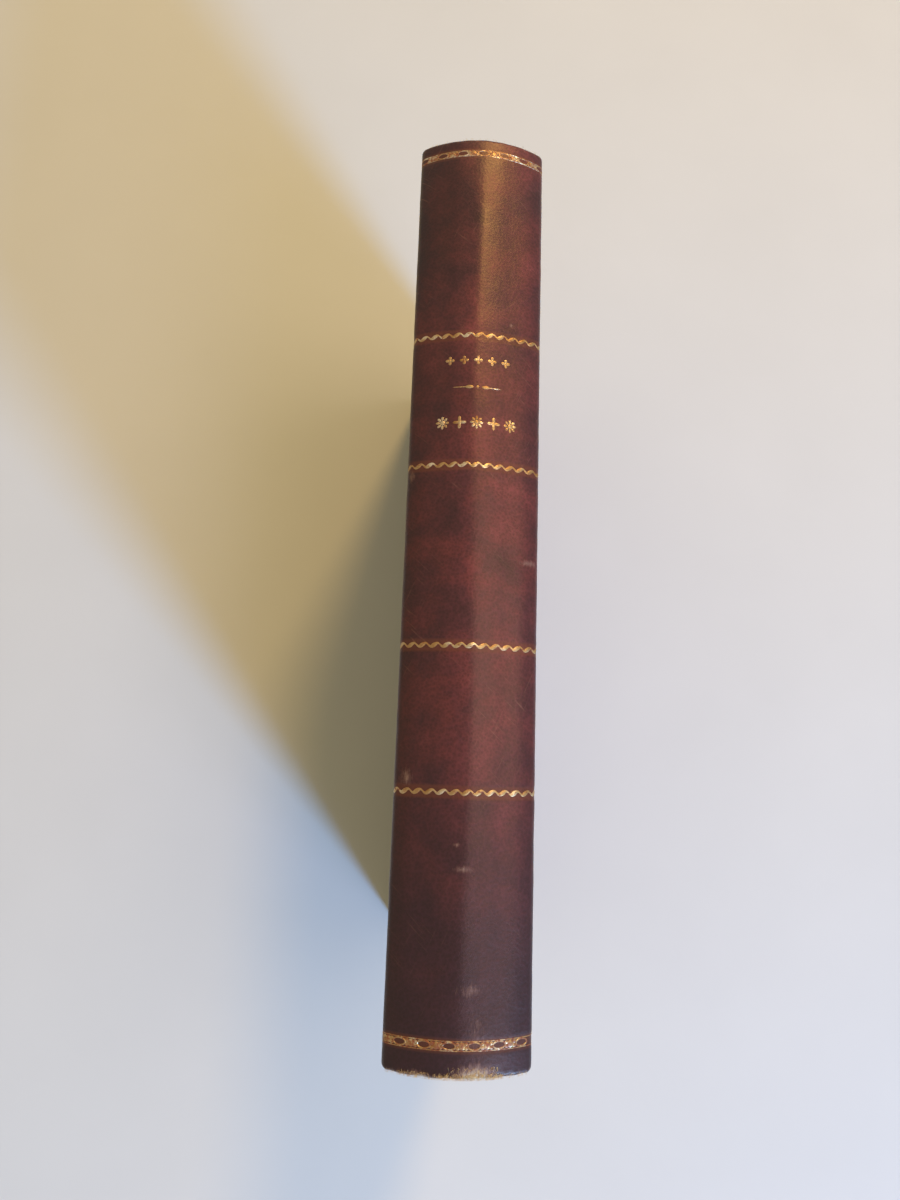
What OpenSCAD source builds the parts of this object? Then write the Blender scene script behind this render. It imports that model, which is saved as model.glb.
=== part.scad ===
// Leather-bound book with a smooth, rounded, gold-tooled back.
// It stands on the fore edges of its boards with the back upwards: X runs through the
// thickness with the front board at +X, Y runs along the back with the head at +Y, and Z
// rises from the fore edges to the back. The origin is under the middle of the book.
// Sewn sections are rounded and backed over two boards. Leather, a card stiffener and a
// paper hollow cover the back, and each board swings about its joint.

/* [Boards] */
// Height of the boards from tail to head
board_h = 190; // [120:1:300]
// Width of a board from its fore edge to the joint
board_w = 125; // [80:1:200]
// Thickness of the board
board_t = 2.5; // [1.5:0.1:4]
// Rounding of a covered corner at the fore edge
corner_r = 1.6; // [1.2:0.1:4]
// Rounding of the covered edges
edge_r = 0.8; // [0.4:0.1:1.1]
// Gap between the edge of a board and the shoulder it swings against
joint_gap = 0.3; // [0.2:0.05:0.6]
// How far outside the leather the hinge line lies
hinge_out = 0.2; // [0.1:0.05:0.4]

/* [Leaves] */
// Thickness of the sewn leaves without their flyleaves
block_t = 19.8; // [10:0.2:50]
// Overhang of the boards past the leaves at head, tail and fore edge
square_w = 3; // [2:0.5:5]
// Depth of the hollow in the fore edge
fore_hollow = 4; // [1:0.5:7]
// Thickness of one sewn section
section_t = 1.24; // [0.8:0.02:2.5]
// Thickness of the endpaper stock
leaf_t = 0.2; // [0.1:0.05:0.4]
// Air between a flyleaf and the pastedown that faces it
leaf_gap = 0.1; // [0.05:0.05:0.3]
// Depth of the marks left between two sections
section_mark = 0.25; // [0.1:0.05:0.5]

/* [Back] */
// Roundness of the back, as the sine of half its arc
back_round = 0.5376; // [0.45:0.0001:0.7]
// Rounding of the innermost turned-in leather along each ridge
ridge_in = 0.14; // [0.1:0.02:1]
// Straight height of the leather between a joint and the rounding of its ridge
ridge_h = 1.7; // [1.4:0.1:2.6]
// Thickness of the leather
leather_t = 0.8; // [0.5:0.05:1]
// Thickness of the leather where it is pared for turning in
pared_t = 0.3; // [0.2:0.05:0.5]
// Width of the leather turned in round the edges
turn_w = 15; // [8:1:25]
// Thickness of the card that stiffens the back
card_t = 0.5; // [0.3:0.05:0.6]
// Depth of the hollow between the card and the lining
hollow_t = 0.5; // [0.3:0.05:0.8]
// Thickness of the paper lining
lining_t = 0.25; // [0.1:0.05:0.4]
// Thickness of the woven mull
mull_t = 0.25; // [0.1:0.05:0.4]
// Film of paste between two glued pieces
paste_t = 0.02; // [0.01:0.01:0.04]

/* [Sewing] */
// Number of sunk cords
cord_n = 4; // [3:1:6]
// Diameter of a cord
cord_d = 1.2; // [0.8:0.1:1.6]
// Distance from the ends of the boards to the nearest cord
cord_in = 31; // [20:1:45]
// Length of the frayed slip glued to a board
slip_l = 24; // [12:1:40]
// Width of a slip at its frayed end
slip_w = 7; // [4:0.5:12]
// Thickness of a slip
slip_t = 0.35; // [0.2:0.05:0.5]
// Diameter of the headband's bead
bead_d = 1.6; // [1.2:0.1:2]
// Distance between two turns of silk round the bead
silk_pitch = 1.1; // [0.8:0.1:2]
// Width of the tape that carries the headband
tape_w = 9; // [6:0.5:14]

/* [Gold tooling] */
// Depth of the impressions
tool_depth = 0.15; // [0.13:0.01:0.2]
// Thickness of the gold
gold_t = 0.1; // [0.06:0.01:0.1]
// Distance from the head edge to the middle of the chain under it
head_chain_in = 3.7; // [2.5:0.1:8]
// Distance from the tail edge to the middle of the chain over it
tail_chain_in = 5.6; // [2.5:0.1:12]
// Height of the chain roll
chain_h = 1.7; // [1.4:0.1:2.2]
// Length of one link and one rosette of the chain
chain_pitch = 4.6; // [3.5:0.1:6]
// Height of the waved roll
wave_h = 1.5; // [1.2:0.1:2]
// Length of one wave
wave_pitch = 2.4; // [1.8:0.1:3]
// Width of the waved line
wave_line = 0.5; // [0.3:0.05:0.6]
// Heights of the four waved rolls, as distances from the tail edge
wave_1 = 142.8; // [140:0.1:148]
wave_2 = 114.1; // [108:0.1:118]
wave_3 = 77.1; // [70:0.1:84]
wave_4 = 49.3; // [44:0.1:56]
// Height of the row of small ornaments, as a distance from the tail edge
small_row = 137; // [135.5:0.1:137.4]
// Height of the ornamental rule, as a distance from the tail edge
rule_row = 131; // [129:0.1:133]
// Height of the row of large ornaments, as a distance from the tail edge
large_row = 123.2; // [119.5:0.1:125]
// Distance between two small ornaments
small_pitch = 3; // [2.6:0.1:3.8]
// Distance between two large ornaments
large_pitch = 3.6; // [3.2:0.1:4.2]
// Length of the ornamental rule
rule_l = 10.8; // [8:0.1:16]

/* [Hidden] */
$fn = 96;

leather_tone = "#5b2c27";
gold_tone = "#c99a45";
paper_tone = "#e2d5b4";
card_tone = "#a08a66";
cord_tone = "#cdbf9c";

// Places through the thickness, from the middle outwards
block_x = block_t / 2;
flyleaf_x = block_x + leaf_t;
pastedown_x = flyleaf_x + leaf_gap;
board_x = pastedown_x + leaf_t;
leather_x = board_x + board_t;
half_t = leather_x + leather_t;
hinge_x = half_t + hinge_out;
hinge_z = board_w + joint_gap / 2;
leaves_y = board_h / 2 - square_w;
cord_y = board_h / 2 - cord_in;

// The rounded back. Every layer is a depth under the leather's outer face.
card_in = leather_t + card_t;
turned_in = card_in + hollow_t;
ridge_r = turned_in + ridge_in;
ridge_x = half_t - ridge_r;
ridge_z = board_w + joint_gap + ridge_h;
ridge_a = asin(back_round);
back_r = ridge_r + ridge_x / back_round;
back_z = ridge_z - (back_r - ridge_r) * cos(ridge_a);
lining_in = turned_in + 2 * paste_t;
mull_in = lining_in + lining_t + paste_t;
block_in = mull_in + mull_t + paste_t;
block_r = back_r - block_in;
joint_z = board_w + joint_gap;
shoulder_z = joint_z + leaf_t;
shoulder_x = leather_x - lining_t - mull_t - 10 * paste_t;
shoulder_a = asin(shoulder_x / block_r);
tie_a = 6;
overlap = 0.01;
margin = 1;

// The sections
section_n = round(block_t / section_t);
section_a = 2 * shoulder_a / section_n;
fold_r = block_r * section_a * PI / 360;
fold_bend = 7;
mark_w = 0.12;

// The lip of leather at head and tail
lip_r = turned_in / 2;
lip_y = board_h / 2 - lip_r;
card_y = lip_y - lip_r / 2;

// Path lengths round the back, from the crown
arc_l = back_r * ridge_a * PI / 180;
tooled_l = arc_l + ridge_r * 0.9;
clear_w = 0.05;
gold_in = tool_depth - paste_t - gold_t;

function from_tail(y) = y - board_h / 2;
function deg(s, r) = s / r * 180 / PI;
function path_x(s) = abs(s) <= arc_l
    ? back_r * sin(deg(s, back_r))
    : sign(s) * (ridge_x + ridge_r * sin(ridge_a + deg(abs(s) - arc_l, ridge_r)));
function wrap(p) = [path_x(p.x), p.y];
function bezier(a, b, c, d, t) = a * pow(1 - t, 3) + 3 * b * t * pow(1 - t, 2)
    + 3 * c * t * t * (1 - t) + d * pow(t, 3);

// Draws a profile in X and Z along the whole of a length in Y
module along_y(length) {
    rotate([90, 0, 0])
        linear_extrude(length, center = true)
            children();
}

// Revolves a profile of [radius, y] about an axis along Y, from one lean to another
module lean(from, to) {
    rotate([-90, 0, 0])
        rotate([0, 0, from - 90])
            rotate_extrude(angle = to - from)
                children();
}

// Carries a profile of [depth, y] over the round of the back
module over_arc(limit) {
    translate([0, 0, back_z])
        lean(-limit, limit)
            translate([back_r, 0])
                mirror([1, 0])
                    children();
}

// Carries a profile of [depth, y] over the back, its two ridges and down to the joints
module over_back() {
    for (side = [-1, 1])
        scale_side(side) {
            translate([0, 0, back_z])
                lean(-ridge_a, 1)
                    translate([back_r, 0])
                        mirror([1, 0])
                            children();
            translate([ridge_x, 0, ridge_z])
                lean(ridge_a, 90)
                    translate([ridge_r, 0])
                        mirror([1, 0])
                            children();
            translate([half_t, 0, joint_z])
                linear_extrude(ridge_z - joint_z)
                    mirror([1, 0])
                        children();
        }
}

// Ties the round of the back to its ridges inside the thickness of a layer
module over_ties() {
    for (side = [-1, 1])
        scale_side(side)
            translate([ridge_x, 0, ridge_z])
                lean(ridge_a - tie_a, ridge_a + tie_a)
                    translate([ridge_r, 0])
                        mirror([1, 0])
                            children();
}

module scale_side(side) {
    mirror([side < 0 ? 1 : 0, 0, 0])
        children();
}

module depth_band(from, to, y_from, y_to) {
    translate([from, y_from])
        square([to - from, y_to - y_from]);
}

// One sheet of leaves seen from the head: sides, shoulders and folded section backs
module block_profile() {
    fore_r = (block_x * block_x + fore_hollow * fore_hollow) / (2 * fore_hollow);
    difference() {
        union() {
            translate([-block_x, square_w])
                square([block_t, shoulder_z - square_w + overlap]);
            intersection() {
                translate([0, back_z])
                    union() {
                        circle(block_r - fold_r * 0.6);
                        for (i = [0:section_n - 1])
                            rotate(-shoulder_a + (i + 0.5) * section_a)
                                translate([0, block_r - fold_r])
                                    circle(fold_r, $fn = 32);
                    }
                translate([-shoulder_x, shoulder_z])
                    square([2 * shoulder_x, block_r]);
            }
        }
        translate([0, square_w + fore_hollow - fore_r])
            circle(fore_r);
    }
}

// The line between two sections, from the fore edge to where they part on the back
module section_line(i) {
    x = -block_x + i * block_t / section_n;
    lean_a = -shoulder_a + i * section_a;
    out = [sin(lean_a), cos(lean_a)];
    start = [x, shoulder_z - fold_bend];
    end = [0, back_z] + out * (block_r + overlap);
    bend = [for (t = [0:0.2:1])
        bezier(start, start + [0, fold_bend * 0.7], end - out * fold_bend * 0.35, end, t)];
    spine = concat([[x, square_w - overlap]], bend);
    polygon(concat(
        [for (p = spine) p - [mark_w / 2, 0]],
        [for (k = [len(spine) - 1:-1:0]) spine[k] + [mark_w / 2, 0]]
    ));
}

module kerf(y) {
    over_arc(shoulder_a + 2)
        depth_band(0, block_in + cord_d + paste_t, y - cord_d / 2 - paste_t, y + cord_d / 2 + paste_t);
}

module at_cords() {
    for (i = [0:cord_n - 1])
        translate([0, -cord_y + i * 2 * cord_y / (cord_n - 1), 0])
            children();
}

module text_block() {
    color(paper_tone)
        difference() {
            along_y(2 * leaves_y)
                block_profile();
            at_cords()
                kerf(0);
            for (end = [-1, 1])
                translate([0, end * leaves_y, 0])
                    along_y(2 * section_mark)
                        for (i = [1:section_n - 1])
                            section_line(i);
        }
}

// A free endpaper: one face of the leaves and the underside of their shoulder
module flyleaf(side) {
    color(paper_tone)
        scale_side(side)
            along_y(2 * leaves_y)
                difference() {
                    translate([block_x + paste_t, square_w])
                        square([leather_x - paste_t - block_x - paste_t, shoulder_z - paste_t - square_w]);
                    translate([flyleaf_x, 0])
                        square([half_t, joint_z]);
                }
}

module sewing_cords() {
    color(cord_tone)
        at_cords()
            over_arc(shoulder_a - 1)
                translate([block_in + cord_d / 2, 0])
                    circle(cord_d / 2 - paste_t, $fn = 24);
}

module spine_mull() {
    color(cord_tone)
        over_arc(shoulder_a - 1)
            depth_band(mull_in, mull_in + mull_t, tape_w - leaves_y + paste_t, leaves_y - tape_w - paste_t);
}

// A silk-wrapped bead on a tape, drawn for the head
module band() {
    bead_r = block_r - bead_d / 2;
    silk_a = deg(silk_pitch, bead_r);
    turns = floor(2 * (shoulder_a - 4) / silk_a);
    over_arc(shoulder_a - 3)
        union() {
            translate([block_in + bead_d / 2, leaves_y + bead_d / 2 + paste_t])
                circle(bead_d / 2 * 0.88, $fn = 24);
            depth_band(mull_in, mull_in + mull_t, leaves_y - tape_w, leaves_y + bead_d / 2);
            depth_band(mull_in, block_in + bead_d / 4, leaves_y + paste_t, leaves_y + bead_d / 2);
        }
    for (k = [0:turns - 1]) {
        at = (k - (turns - 1) / 2) * silk_a;
        translate([0, 0, back_z])
            lean(at - silk_a * 0.32, at + silk_a * 0.32)
                translate([bead_r, leaves_y + bead_d / 2 + paste_t])
                    circle(bead_d / 2, $fn = 24);
    }
}

module headband() {
    color(leather_tone)
        band();
}

module tailband() {
    color(leather_tone)
        mirror([0, 1, 0])
            band();
}

module spine_lining() {
    color(card_tone)
        over_arc(ridge_a - 2)
            depth_band(lining_in, lining_in + lining_t, -leaves_y, leaves_y);
}

module spine_card() {
    color(card_tone)
        over_arc(ridge_a - 1)
            depth_band(leather_t + paste_t, card_in - paste_t, -card_y + paste_t, card_y - paste_t);
}

// The leather of the back along its length: outer skin, rounded lips and turned-in ends
module leather_profile() {
    difference() {
        union() {
            depth_band(0, leather_t, -lip_y - overlap, lip_y + overlap);
            for (end = [0, 1])
                mirror([0, end]) {
                    intersection() {
                        translate([lip_r, lip_y])
                            circle(lip_r);
                        depth_band(-margin, turned_in + margin, lip_y, board_h);
                    }
                    depth_band(0, turned_in, card_y, lip_y + overlap);
                    depth_band(card_in, turned_in, board_h / 2 - turn_w, card_y + overlap);
                }
        }
        for (y = [wave_1, wave_2, wave_3, wave_4])
            impression(from_tail(y), wave_h);
        impression(board_h / 2 - head_chain_in, chain_h);
        impression(from_tail(tail_chain_in), chain_h);
    }
}

module impression(y, height) {
    depth_band(-leather_t, tool_depth, y - height / 2 - clear_w, y + height / 2 + clear_w);
}

module spine_leather() {
    color(leather_tone)
        difference() {
            union() {
                over_back()
                    leather_profile();
                over_ties()
                    depth_band(2 * tool_depth, leather_t - tool_depth, -lip_y, lip_y);
            }
            pressed(from_tail(small_row), clear_w)
                small_tools(clear_w);
            pressed(from_tail(rule_row), clear_w)
                rule_tools(clear_w);
            pressed(from_tail(large_row), clear_w)
                large_tools(clear_w);
        }
}

// Presses the outlines drawn as [path length, y] into the leather, at one height
module pressed(y, grow) {
    translate([0, y, 0])
        intersection() {
            outlines()
                children();
            over_arc(ridge_a)
                depth_band(-margin, tool_depth, -wave_h * 2, wave_h * 2);
        }
}

module outlines() {
    translate([0, 0, back_z])
        linear_extrude(back_r + margin)
            children();
}

// Gold laid in an impression
module gilt(y, height) {
    color(gold_tone)
        translate([0, y, 0])
            intersection() {
                outlines()
                    children();
                union() {
                    over_back()
                        depth_band(gold_in, gold_in + gold_t, -height / 2, height / 2);
                    over_ties()
                        depth_band(gold_in + gold_t * 0.3, gold_in + gold_t * 0.7, -height / 2, height / 2);
                }
            }
}

// The waved line of the roll: a rope of strokes, thick where it climbs to the right
module wave_line_outline() {
    n = floor(2 * tooled_l / wave_pitch * 8);
    step = 2 * tooled_l / n;
    reach = (wave_h - wave_line) / 2;
    mid = [for (i = [0:n]) [-tooled_l + i * step, 360 * (-tooled_l + i * step) / wave_pitch]];
    function half(a) = wave_line / 2 * (0.72 + 0.28 * cos(a));
    polygon(concat(
        [for (p = mid) wrap([p.x, reach * sin(p.y) + half(p.y)])],
        [for (k = [n:-1:0]) wrap([mid[k].x, reach * sin(mid[k].y) - half(mid[k].y)])]
    ));
}

// A closed outline about [x, 0], given by its reach at each angle
function ring(x, reach) = [for (k = [0:len(reach) - 1])
    wrap([x, 0] + reach[k] * [cos(360 * k / len(reach)), sin(360 * k / len(reach))])];

function oval(a, b, n) = [for (k = [0:n - 1])
    1 / sqrt(pow(cos(360 * k / n) / a, 2) + pow(sin(360 * k / n) / b, 2))];
function petals(size, count, depth, n) = [for (k = [0:n - 1])
    size * (1 - depth + depth * cos(360 * k / n * count))];
function star(size, n) = [for (k = [0:n - 1])
    size / pow(pow(abs(cos(360 * k / n)), 0.8) + pow(abs(sin(360 * k / n)), 0.8), 1.25)];

// Links and rosettes in turn, joined end to end
module chain_outline() {
    n = floor(tooled_l / chain_pitch);
    link_a = chain_pitch * 0.29;
    rose_a = chain_pitch * 0.24;
    for (k = [-n:n])
        difference() {
            union() {
                polygon(ring(k * chain_pitch, oval(link_a, chain_h / 2, 20)));
                if (k < n)
                    polygon([for (c = [[-1, -0.62], [-0.5, -1], [0.5, -1], [1, -0.62],
                                       [1, 0.62], [0.5, 1], [-0.5, 1], [-1, 0.62]])
                        wrap([(k + 0.5) * chain_pitch + c.x * rose_a, c.y * chain_h / 2])]);
            }
            polygon(ring(k * chain_pitch, oval(link_a * 0.68, chain_h * 0.23, 16)));
            if (k < n)
                for (side = [-1, 1])
                    polygon(ring((k + 0.5) * chain_pitch + side * rose_a * 0.42,
                                 oval(rose_a * 0.2, chain_h * 0.17, 8)));
        }
}

module small_tools(grow) {
    for (k = [-2:2])
        polygon(ring(k * small_pitch, petals(small_pitch * 0.33 + grow, 4, 0.22, 24)));
}

module large_tools(grow) {
    for (k = [-2:2])
        if (k % 2 == 0)
            polygon(ring(k * large_pitch, petals(large_pitch * 0.36 + grow, 8, 0.13, 48)));
        else
            polygon(ring(k * large_pitch, star(large_pitch * 0.42 + grow, 24)));
}

// A tapering rule in two leaves with a lozenge between them
module rule_tools(grow) {
    leaf = [[0.13, 0.08], [0.2, 0.4], [0.3, 0.52], [0.42, 0.3], [0.55, 0.13], [1, 0.06]];
    reach = rule_l / 2;
    for (side = [-1, 1])
        polygon(concat(
            [for (p = leaf) wrap([side * (p.x * reach), p.y + grow])],
            [for (k = [len(leaf) - 1:-1:0]) wrap([side * (leaf[k].x * reach), -leaf[k].y - grow])]
        ));
    lozenge = 0.42 + grow;
    polygon([wrap([-lozenge, 0]), wrap([0, -lozenge]), wrap([lozenge, 0]), wrap([0, lozenge])]);
}

module wave_roll(y) {
    gilt(from_tail(y), wave_h)
        wave_line_outline();
}

module chain_roll(y) {
    gilt(y, chain_h)
        chain_outline();
}

// A rectangle with rounded corners, each corner with its own radius
module rounded(size, radii) {
    corners = [[0, 0], [size.x, 0], [size.x, size.y], [0, size.y]];
    difference() {
        square(size);
        for (k = [0:3])
            if (radii[k] > 0) {
                inward = [corners[k].x == 0 ? 1 : -1, corners[k].y == 0 ? 1 : -1];
                translate(corners[k])
                    mirror([inward.x < 0 ? 1 : 0, 0])
                        mirror([0, inward.y < 0 ? 1 : 0])
                            difference() {
                                translate([-margin, -margin])
                                    square(radii[k] + margin);
                                translate([radii[k], radii[k]])
                                    circle(radii[k], $fn = 48);
                            }
            }
    }
}

// The covered board's outer form, rounded along its edges and at its two outer corners
module cover_form() {
    depth = half_t - board_x;
    inner_r = pared_t;
    intersection() {
        along_y(board_h)
            translate([board_x, 0])
                rounded([depth, board_w], [inner_r, edge_r, 0, 0]);
        translate([board_x, -board_h / 2, 0])
            linear_extrude(board_w)
                rounded([depth, board_h], [inner_r, edge_r, edge_r, inner_r]);
        translate([board_x, 0, 0])
            rotate([90, 0, 90])
                linear_extrude(depth)
                    translate([-board_h / 2, 0])
                        rounded([board_h, board_w], [corner_r, corner_r, 0, 0]);
    }
}

module slip_outline(grow) {
    top = board_w - leaf_t;
    for (i = [0:cord_n - 1])
        translate([-cord_y + i * 2 * cord_y / (cord_n - 1), 0])
            polygon([
                [-cord_d / 2 - grow, top], [cord_d / 2 + grow, top],
                [slip_w / 2 + grow, top - slip_l], [slip_w / 4, top - slip_l - grow],
                [0, top - slip_l * 1.08 - grow], [-slip_w / 4, top - slip_l - grow],
                [-slip_w / 2 - grow, top - slip_l]
            ]);
}

// Lays an outline drawn in Y and Z flat at x, with a thickness outwards
module laid(x, thickness) {
    translate([x, 0, 0])
        rotate([90, 0, 90])
            linear_extrude(thickness)
                children();
}

module board(side) {
    edge_y = board_h / 2 - leather_t;
    color(card_tone)
        scale_side(side)
            difference() {
                translate([board_x + paste_t, -edge_y + paste_t, leather_t + paste_t])
                    cube([board_t - 2 * paste_t, 2 * edge_y - 2 * paste_t, board_w - leaf_t - leather_t - 2 * paste_t]);
                turn_in_room(paste_t);
                laid(leather_x - slip_t - 2 * paste_t, slip_t + leather_t)
                    slip_outline(paste_t);
            }
}

// The margin of a board that the turned-in leather takes up on its inner face
module turn_in_room(grow) {
    difference() {
        translate([0, -board_h, -board_w])
            cube([board_x + pared_t + grow, 2 * board_h, 3 * board_w]);
        translate([-margin, -board_h / 2 + turn_w + grow, turn_w + grow])
            cube([half_t + 2 * margin, board_h - 2 * turn_w - 2 * grow, 3 * board_w]);
    }
}

module cord_slips(side) {
    color(cord_tone)
        scale_side(side)
            laid(leather_x - slip_t - paste_t, slip_t)
                slip_outline(0);
}

// Leather drawn over the outside of a board and turned in round three edges
module cover_leather(side) {
    edge_y = board_h / 2 - leather_t;
    color(leather_tone)
        scale_side(side)
            difference() {
                cover_form();
                translate([board_x + pared_t, -edge_y, leather_t])
                    cube([board_t - pared_t, 2 * edge_y, board_w]);
                translate([board_x - margin, -board_h / 2 + turn_w, turn_w])
                    cube([board_t + margin, board_h - 2 * turn_w, board_w]);
            }
}

// The endpaper glued to a board, carried over the board's edge into the joint
module pastedown(side) {
    color(paper_tone)
        scale_side(side)
            along_y(2 * leaves_y)
                difference() {
                    translate([pastedown_x, square_w])
                        square([leather_x - paste_t - pastedown_x, board_w - square_w]);
                    translate([board_x - paste_t, 0])
                        square([half_t, board_w - leaf_t]);
                }
}

text_block();
flyleaf(1);  // front_flyleaf
flyleaf(-1);  // back_flyleaf
sewing_cords();
spine_mull();
headband();
tailband();
spine_lining();
spine_card();
spine_leather();
chain_roll(board_h / 2 - head_chain_in);  // head_chain_roll
wave_roll(wave_1);  // wave_roll_1
wave_roll(wave_2);  // wave_roll_2
wave_roll(wave_3);  // wave_roll_3
wave_roll(wave_4);  // wave_roll_4
chain_roll(from_tail(tail_chain_in));  // tail_chain_roll
gilt(from_tail(small_row), 2 * wave_h) small_tools(0);  // small_ornaments
gilt(from_tail(rule_row), 2 * wave_h) rule_tools(0);  // ornamental_rule
gilt(from_tail(large_row), 2.6 * wave_h) large_tools(0);  // large_ornaments
board(1);  // front_board
cord_slips(1);  // front_cord_slips
cover_leather(1);  // front_leather
pastedown(1);  // front_pastedown
board(-1);  // back_board
cord_slips(-1);  // back_cord_slips
cover_leather(-1);  // back_leather
pastedown(-1);  // back_pastedown
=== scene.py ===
import math
from functools import partial

import bpy
import numpy as np
from mathutils import Euler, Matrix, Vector


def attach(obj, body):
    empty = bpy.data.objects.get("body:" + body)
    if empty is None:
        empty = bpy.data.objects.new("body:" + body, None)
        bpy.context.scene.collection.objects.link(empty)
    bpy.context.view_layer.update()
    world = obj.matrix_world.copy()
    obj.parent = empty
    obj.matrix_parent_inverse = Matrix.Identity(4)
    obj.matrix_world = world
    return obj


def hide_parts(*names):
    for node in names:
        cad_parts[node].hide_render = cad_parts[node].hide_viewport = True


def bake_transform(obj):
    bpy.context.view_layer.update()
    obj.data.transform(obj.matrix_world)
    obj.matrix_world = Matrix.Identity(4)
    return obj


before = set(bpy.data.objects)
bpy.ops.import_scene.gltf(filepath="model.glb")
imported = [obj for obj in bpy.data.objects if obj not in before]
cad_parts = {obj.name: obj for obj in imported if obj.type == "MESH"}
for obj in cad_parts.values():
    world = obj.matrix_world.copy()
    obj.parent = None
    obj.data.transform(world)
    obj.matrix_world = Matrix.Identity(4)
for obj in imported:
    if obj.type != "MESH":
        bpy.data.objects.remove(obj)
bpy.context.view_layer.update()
mm = 0.001
scene = bpy.context.scene

# The rounded back, as the part's source gives it
back = {
    "arcRadius": 23.815, "arcZ": 108.555, "arcSine": 0.5376,
    "ridgeX": 11.76, "ridgeZ": 127.0, "ridgeRadius": 1.94, "jointZ": 125.3,
    "halfLength": 95.0,
}
arcAngle = math.asin(back["arcSine"])
arcLength = back["arcRadius"] * arcAngle
ridgeLength = back["ridgeRadius"] * (math.pi / 2 - arcAngle)
halfGirth = arcLength + ridgeLength + back["ridgeZ"] - back["jointZ"]


def onBack(s, y, depth):
    # Points at a path length s from the crown, a height y and a depth under the leather's face
    s, y, depth = np.broadcast_arrays(*(np.asarray(v, float) for v in (s, y, depth)))
    side, reach = np.where(s < 0, -1.0, 1.0), np.abs(s)
    ridge = reach > arcLength
    turn = np.where(ridge, arcAngle + (reach - arcLength) / back["ridgeRadius"], reach / back["arcRadius"])
    flank = np.maximum(reach - arcLength - ridgeLength, 0.0)
    turn = np.minimum(turn, math.pi / 2)
    radius = np.where(ridge, back["ridgeRadius"], back["arcRadius"]) - depth
    x = side * (np.where(ridge, back["ridgeX"], 0.0) + radius * np.sin(turn))
    z = np.where(ridge, back["ridgeZ"], back["arcZ"]) + radius * np.cos(turn) - flank
    return np.stack([x, y, z], axis=-1)


def swell(points, size, seed):
    # Smooth unevenness from about -1 to 1, whose hollows lie about size apart
    draw = np.random.default_rng(seed)
    total = np.zeros(len(points))
    for _ in range(7):
        way = draw.normal(size=3)
        way /= np.linalg.norm(way)
        total += np.sin(points @ way * (2 * math.pi / (size * draw.uniform(0.7, 1.5))) + draw.uniform(0, 6.3))
    return total / 3.2


def ease(value, low, high):
    t = np.clip((value - low) / (high - low), 0.0, 1.0)
    return t * t * (3 - 2 * t)


def gridFaces(rows, columns, closed=False):
    # Four-sided faces between rows of points, whose columns may close into a ring
    index = np.arange(rows * columns).reshape(rows, columns)
    if closed:
        index = np.hstack([index, index[:, :1]])
    corners = np.stack([index[:-1, :-1], index[1:, :-1], index[1:, 1:], index[:-1, 1:]], -1)
    return corners.reshape(-1, 4).tolist()


def skinNormals(points, faces):
    quads = np.array(faces)
    cross = np.cross(points[quads[:, 2]] - points[quads[:, 0]], points[quads[:, 3]] - points[quads[:, 1]])
    normals = np.zeros_like(points)
    for corner in range(quads.shape[1]):
        np.add.at(normals, quads[:, corner], cross)
    return normals / np.maximum(np.linalg.norm(normals, axis=1, keepdims=True), 1e-12)


def thicken(outer, inner, faces):
    # Closes two matching skins into one solid, with a rim along each free edge
    count, free = len(outer), {}
    for face in faces:
        for a, b in zip(face, face[1:] + face[:1]):
            if (b, a) in free:
                del free[(b, a)]
            else:
                free[(a, b)] = True
    rim = [(b, a, a + count, b + count) for a, b in free]
    lining = [tuple(i + count for i in reversed(face)) for face in faces]
    return np.vstack([outer, inner]), [tuple(f) for f in faces] + lining + rim


def linkNew(name, data):
    thing = bpy.data.objects.new(name, data)
    scene.collection.objects.link(thing)
    return thing


def linkSmooth(mesh, smooth):
    # An object of the mesh's name, shaded smooth but for edges sharper than an angle in degrees
    mesh.shade_smooth()
    mesh.set_sharp_from_angle(angle=math.radians(smooth))
    return linkNew(mesh.name, mesh)


def makePiece(name, solid, material, uv=None, smooth=40, side=1):
    # A mesh object at the origin from points in mm and faces, which it turns outwards. The pieces
    # of the covers are worked out at the front, and side -1 puts them at the back
    points, faces = solid
    points = points * (side, 1, 1)
    mesh = bpy.data.meshes.new(name)
    mesh.from_pydata((points * mm).tolist(), [], faces)
    tri = np.array([(f[0], f[k], f[k + 1]) for f in faces for k in range(1, len(f) - 1)])
    volume = np.einsum("ij,ij->i", points[tri[:, 0]], np.cross(points[tri[:, 1]], points[tri[:, 2]])).sum()
    if volume < 0:
        mesh.flip_normals()
    if uv is not None:
        layer = mesh.uv_layers.new(name="place")
        corners = np.zeros(len(mesh.loops), np.int64)
        mesh.loops.foreach_get("vertex_index", corners)
        layer.data.foreach_set("uv", np.asarray(uv, np.float32)[corners].ravel())
    mesh.materials.append(material)
    return linkSmooth(mesh, smooth)


def enrol(piece, body="book_block", nodes=()):
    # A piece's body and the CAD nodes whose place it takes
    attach(piece, body)
    if nodes:
        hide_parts(*nodes)


def toLinear(hexColour):
    parts = [int(hexColour[i:i + 2], 16) / 255 for i in (1, 3, 5)]
    return *(c / 12.92 if c <= 0.04045 else ((c + 0.055) / 1.055) ** 2.4 for c in parts), 1.0


def feed(node, inputs):
    # Each input is a value, a socket, a node whose first live output is meant, or a list of these to join
    for name, value in inputs.items():
        for source in value if isinstance(value, list) else [value]:
            if isinstance(source, bpy.types.Node):
                source = next(socket for socket in source.outputs if socket.enabled)
            if isinstance(source, bpy.types.NodeSocket):
                node.id_data.links.new(source, node.inputs[name])
            else:
                node.inputs[name].default_value = source


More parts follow.
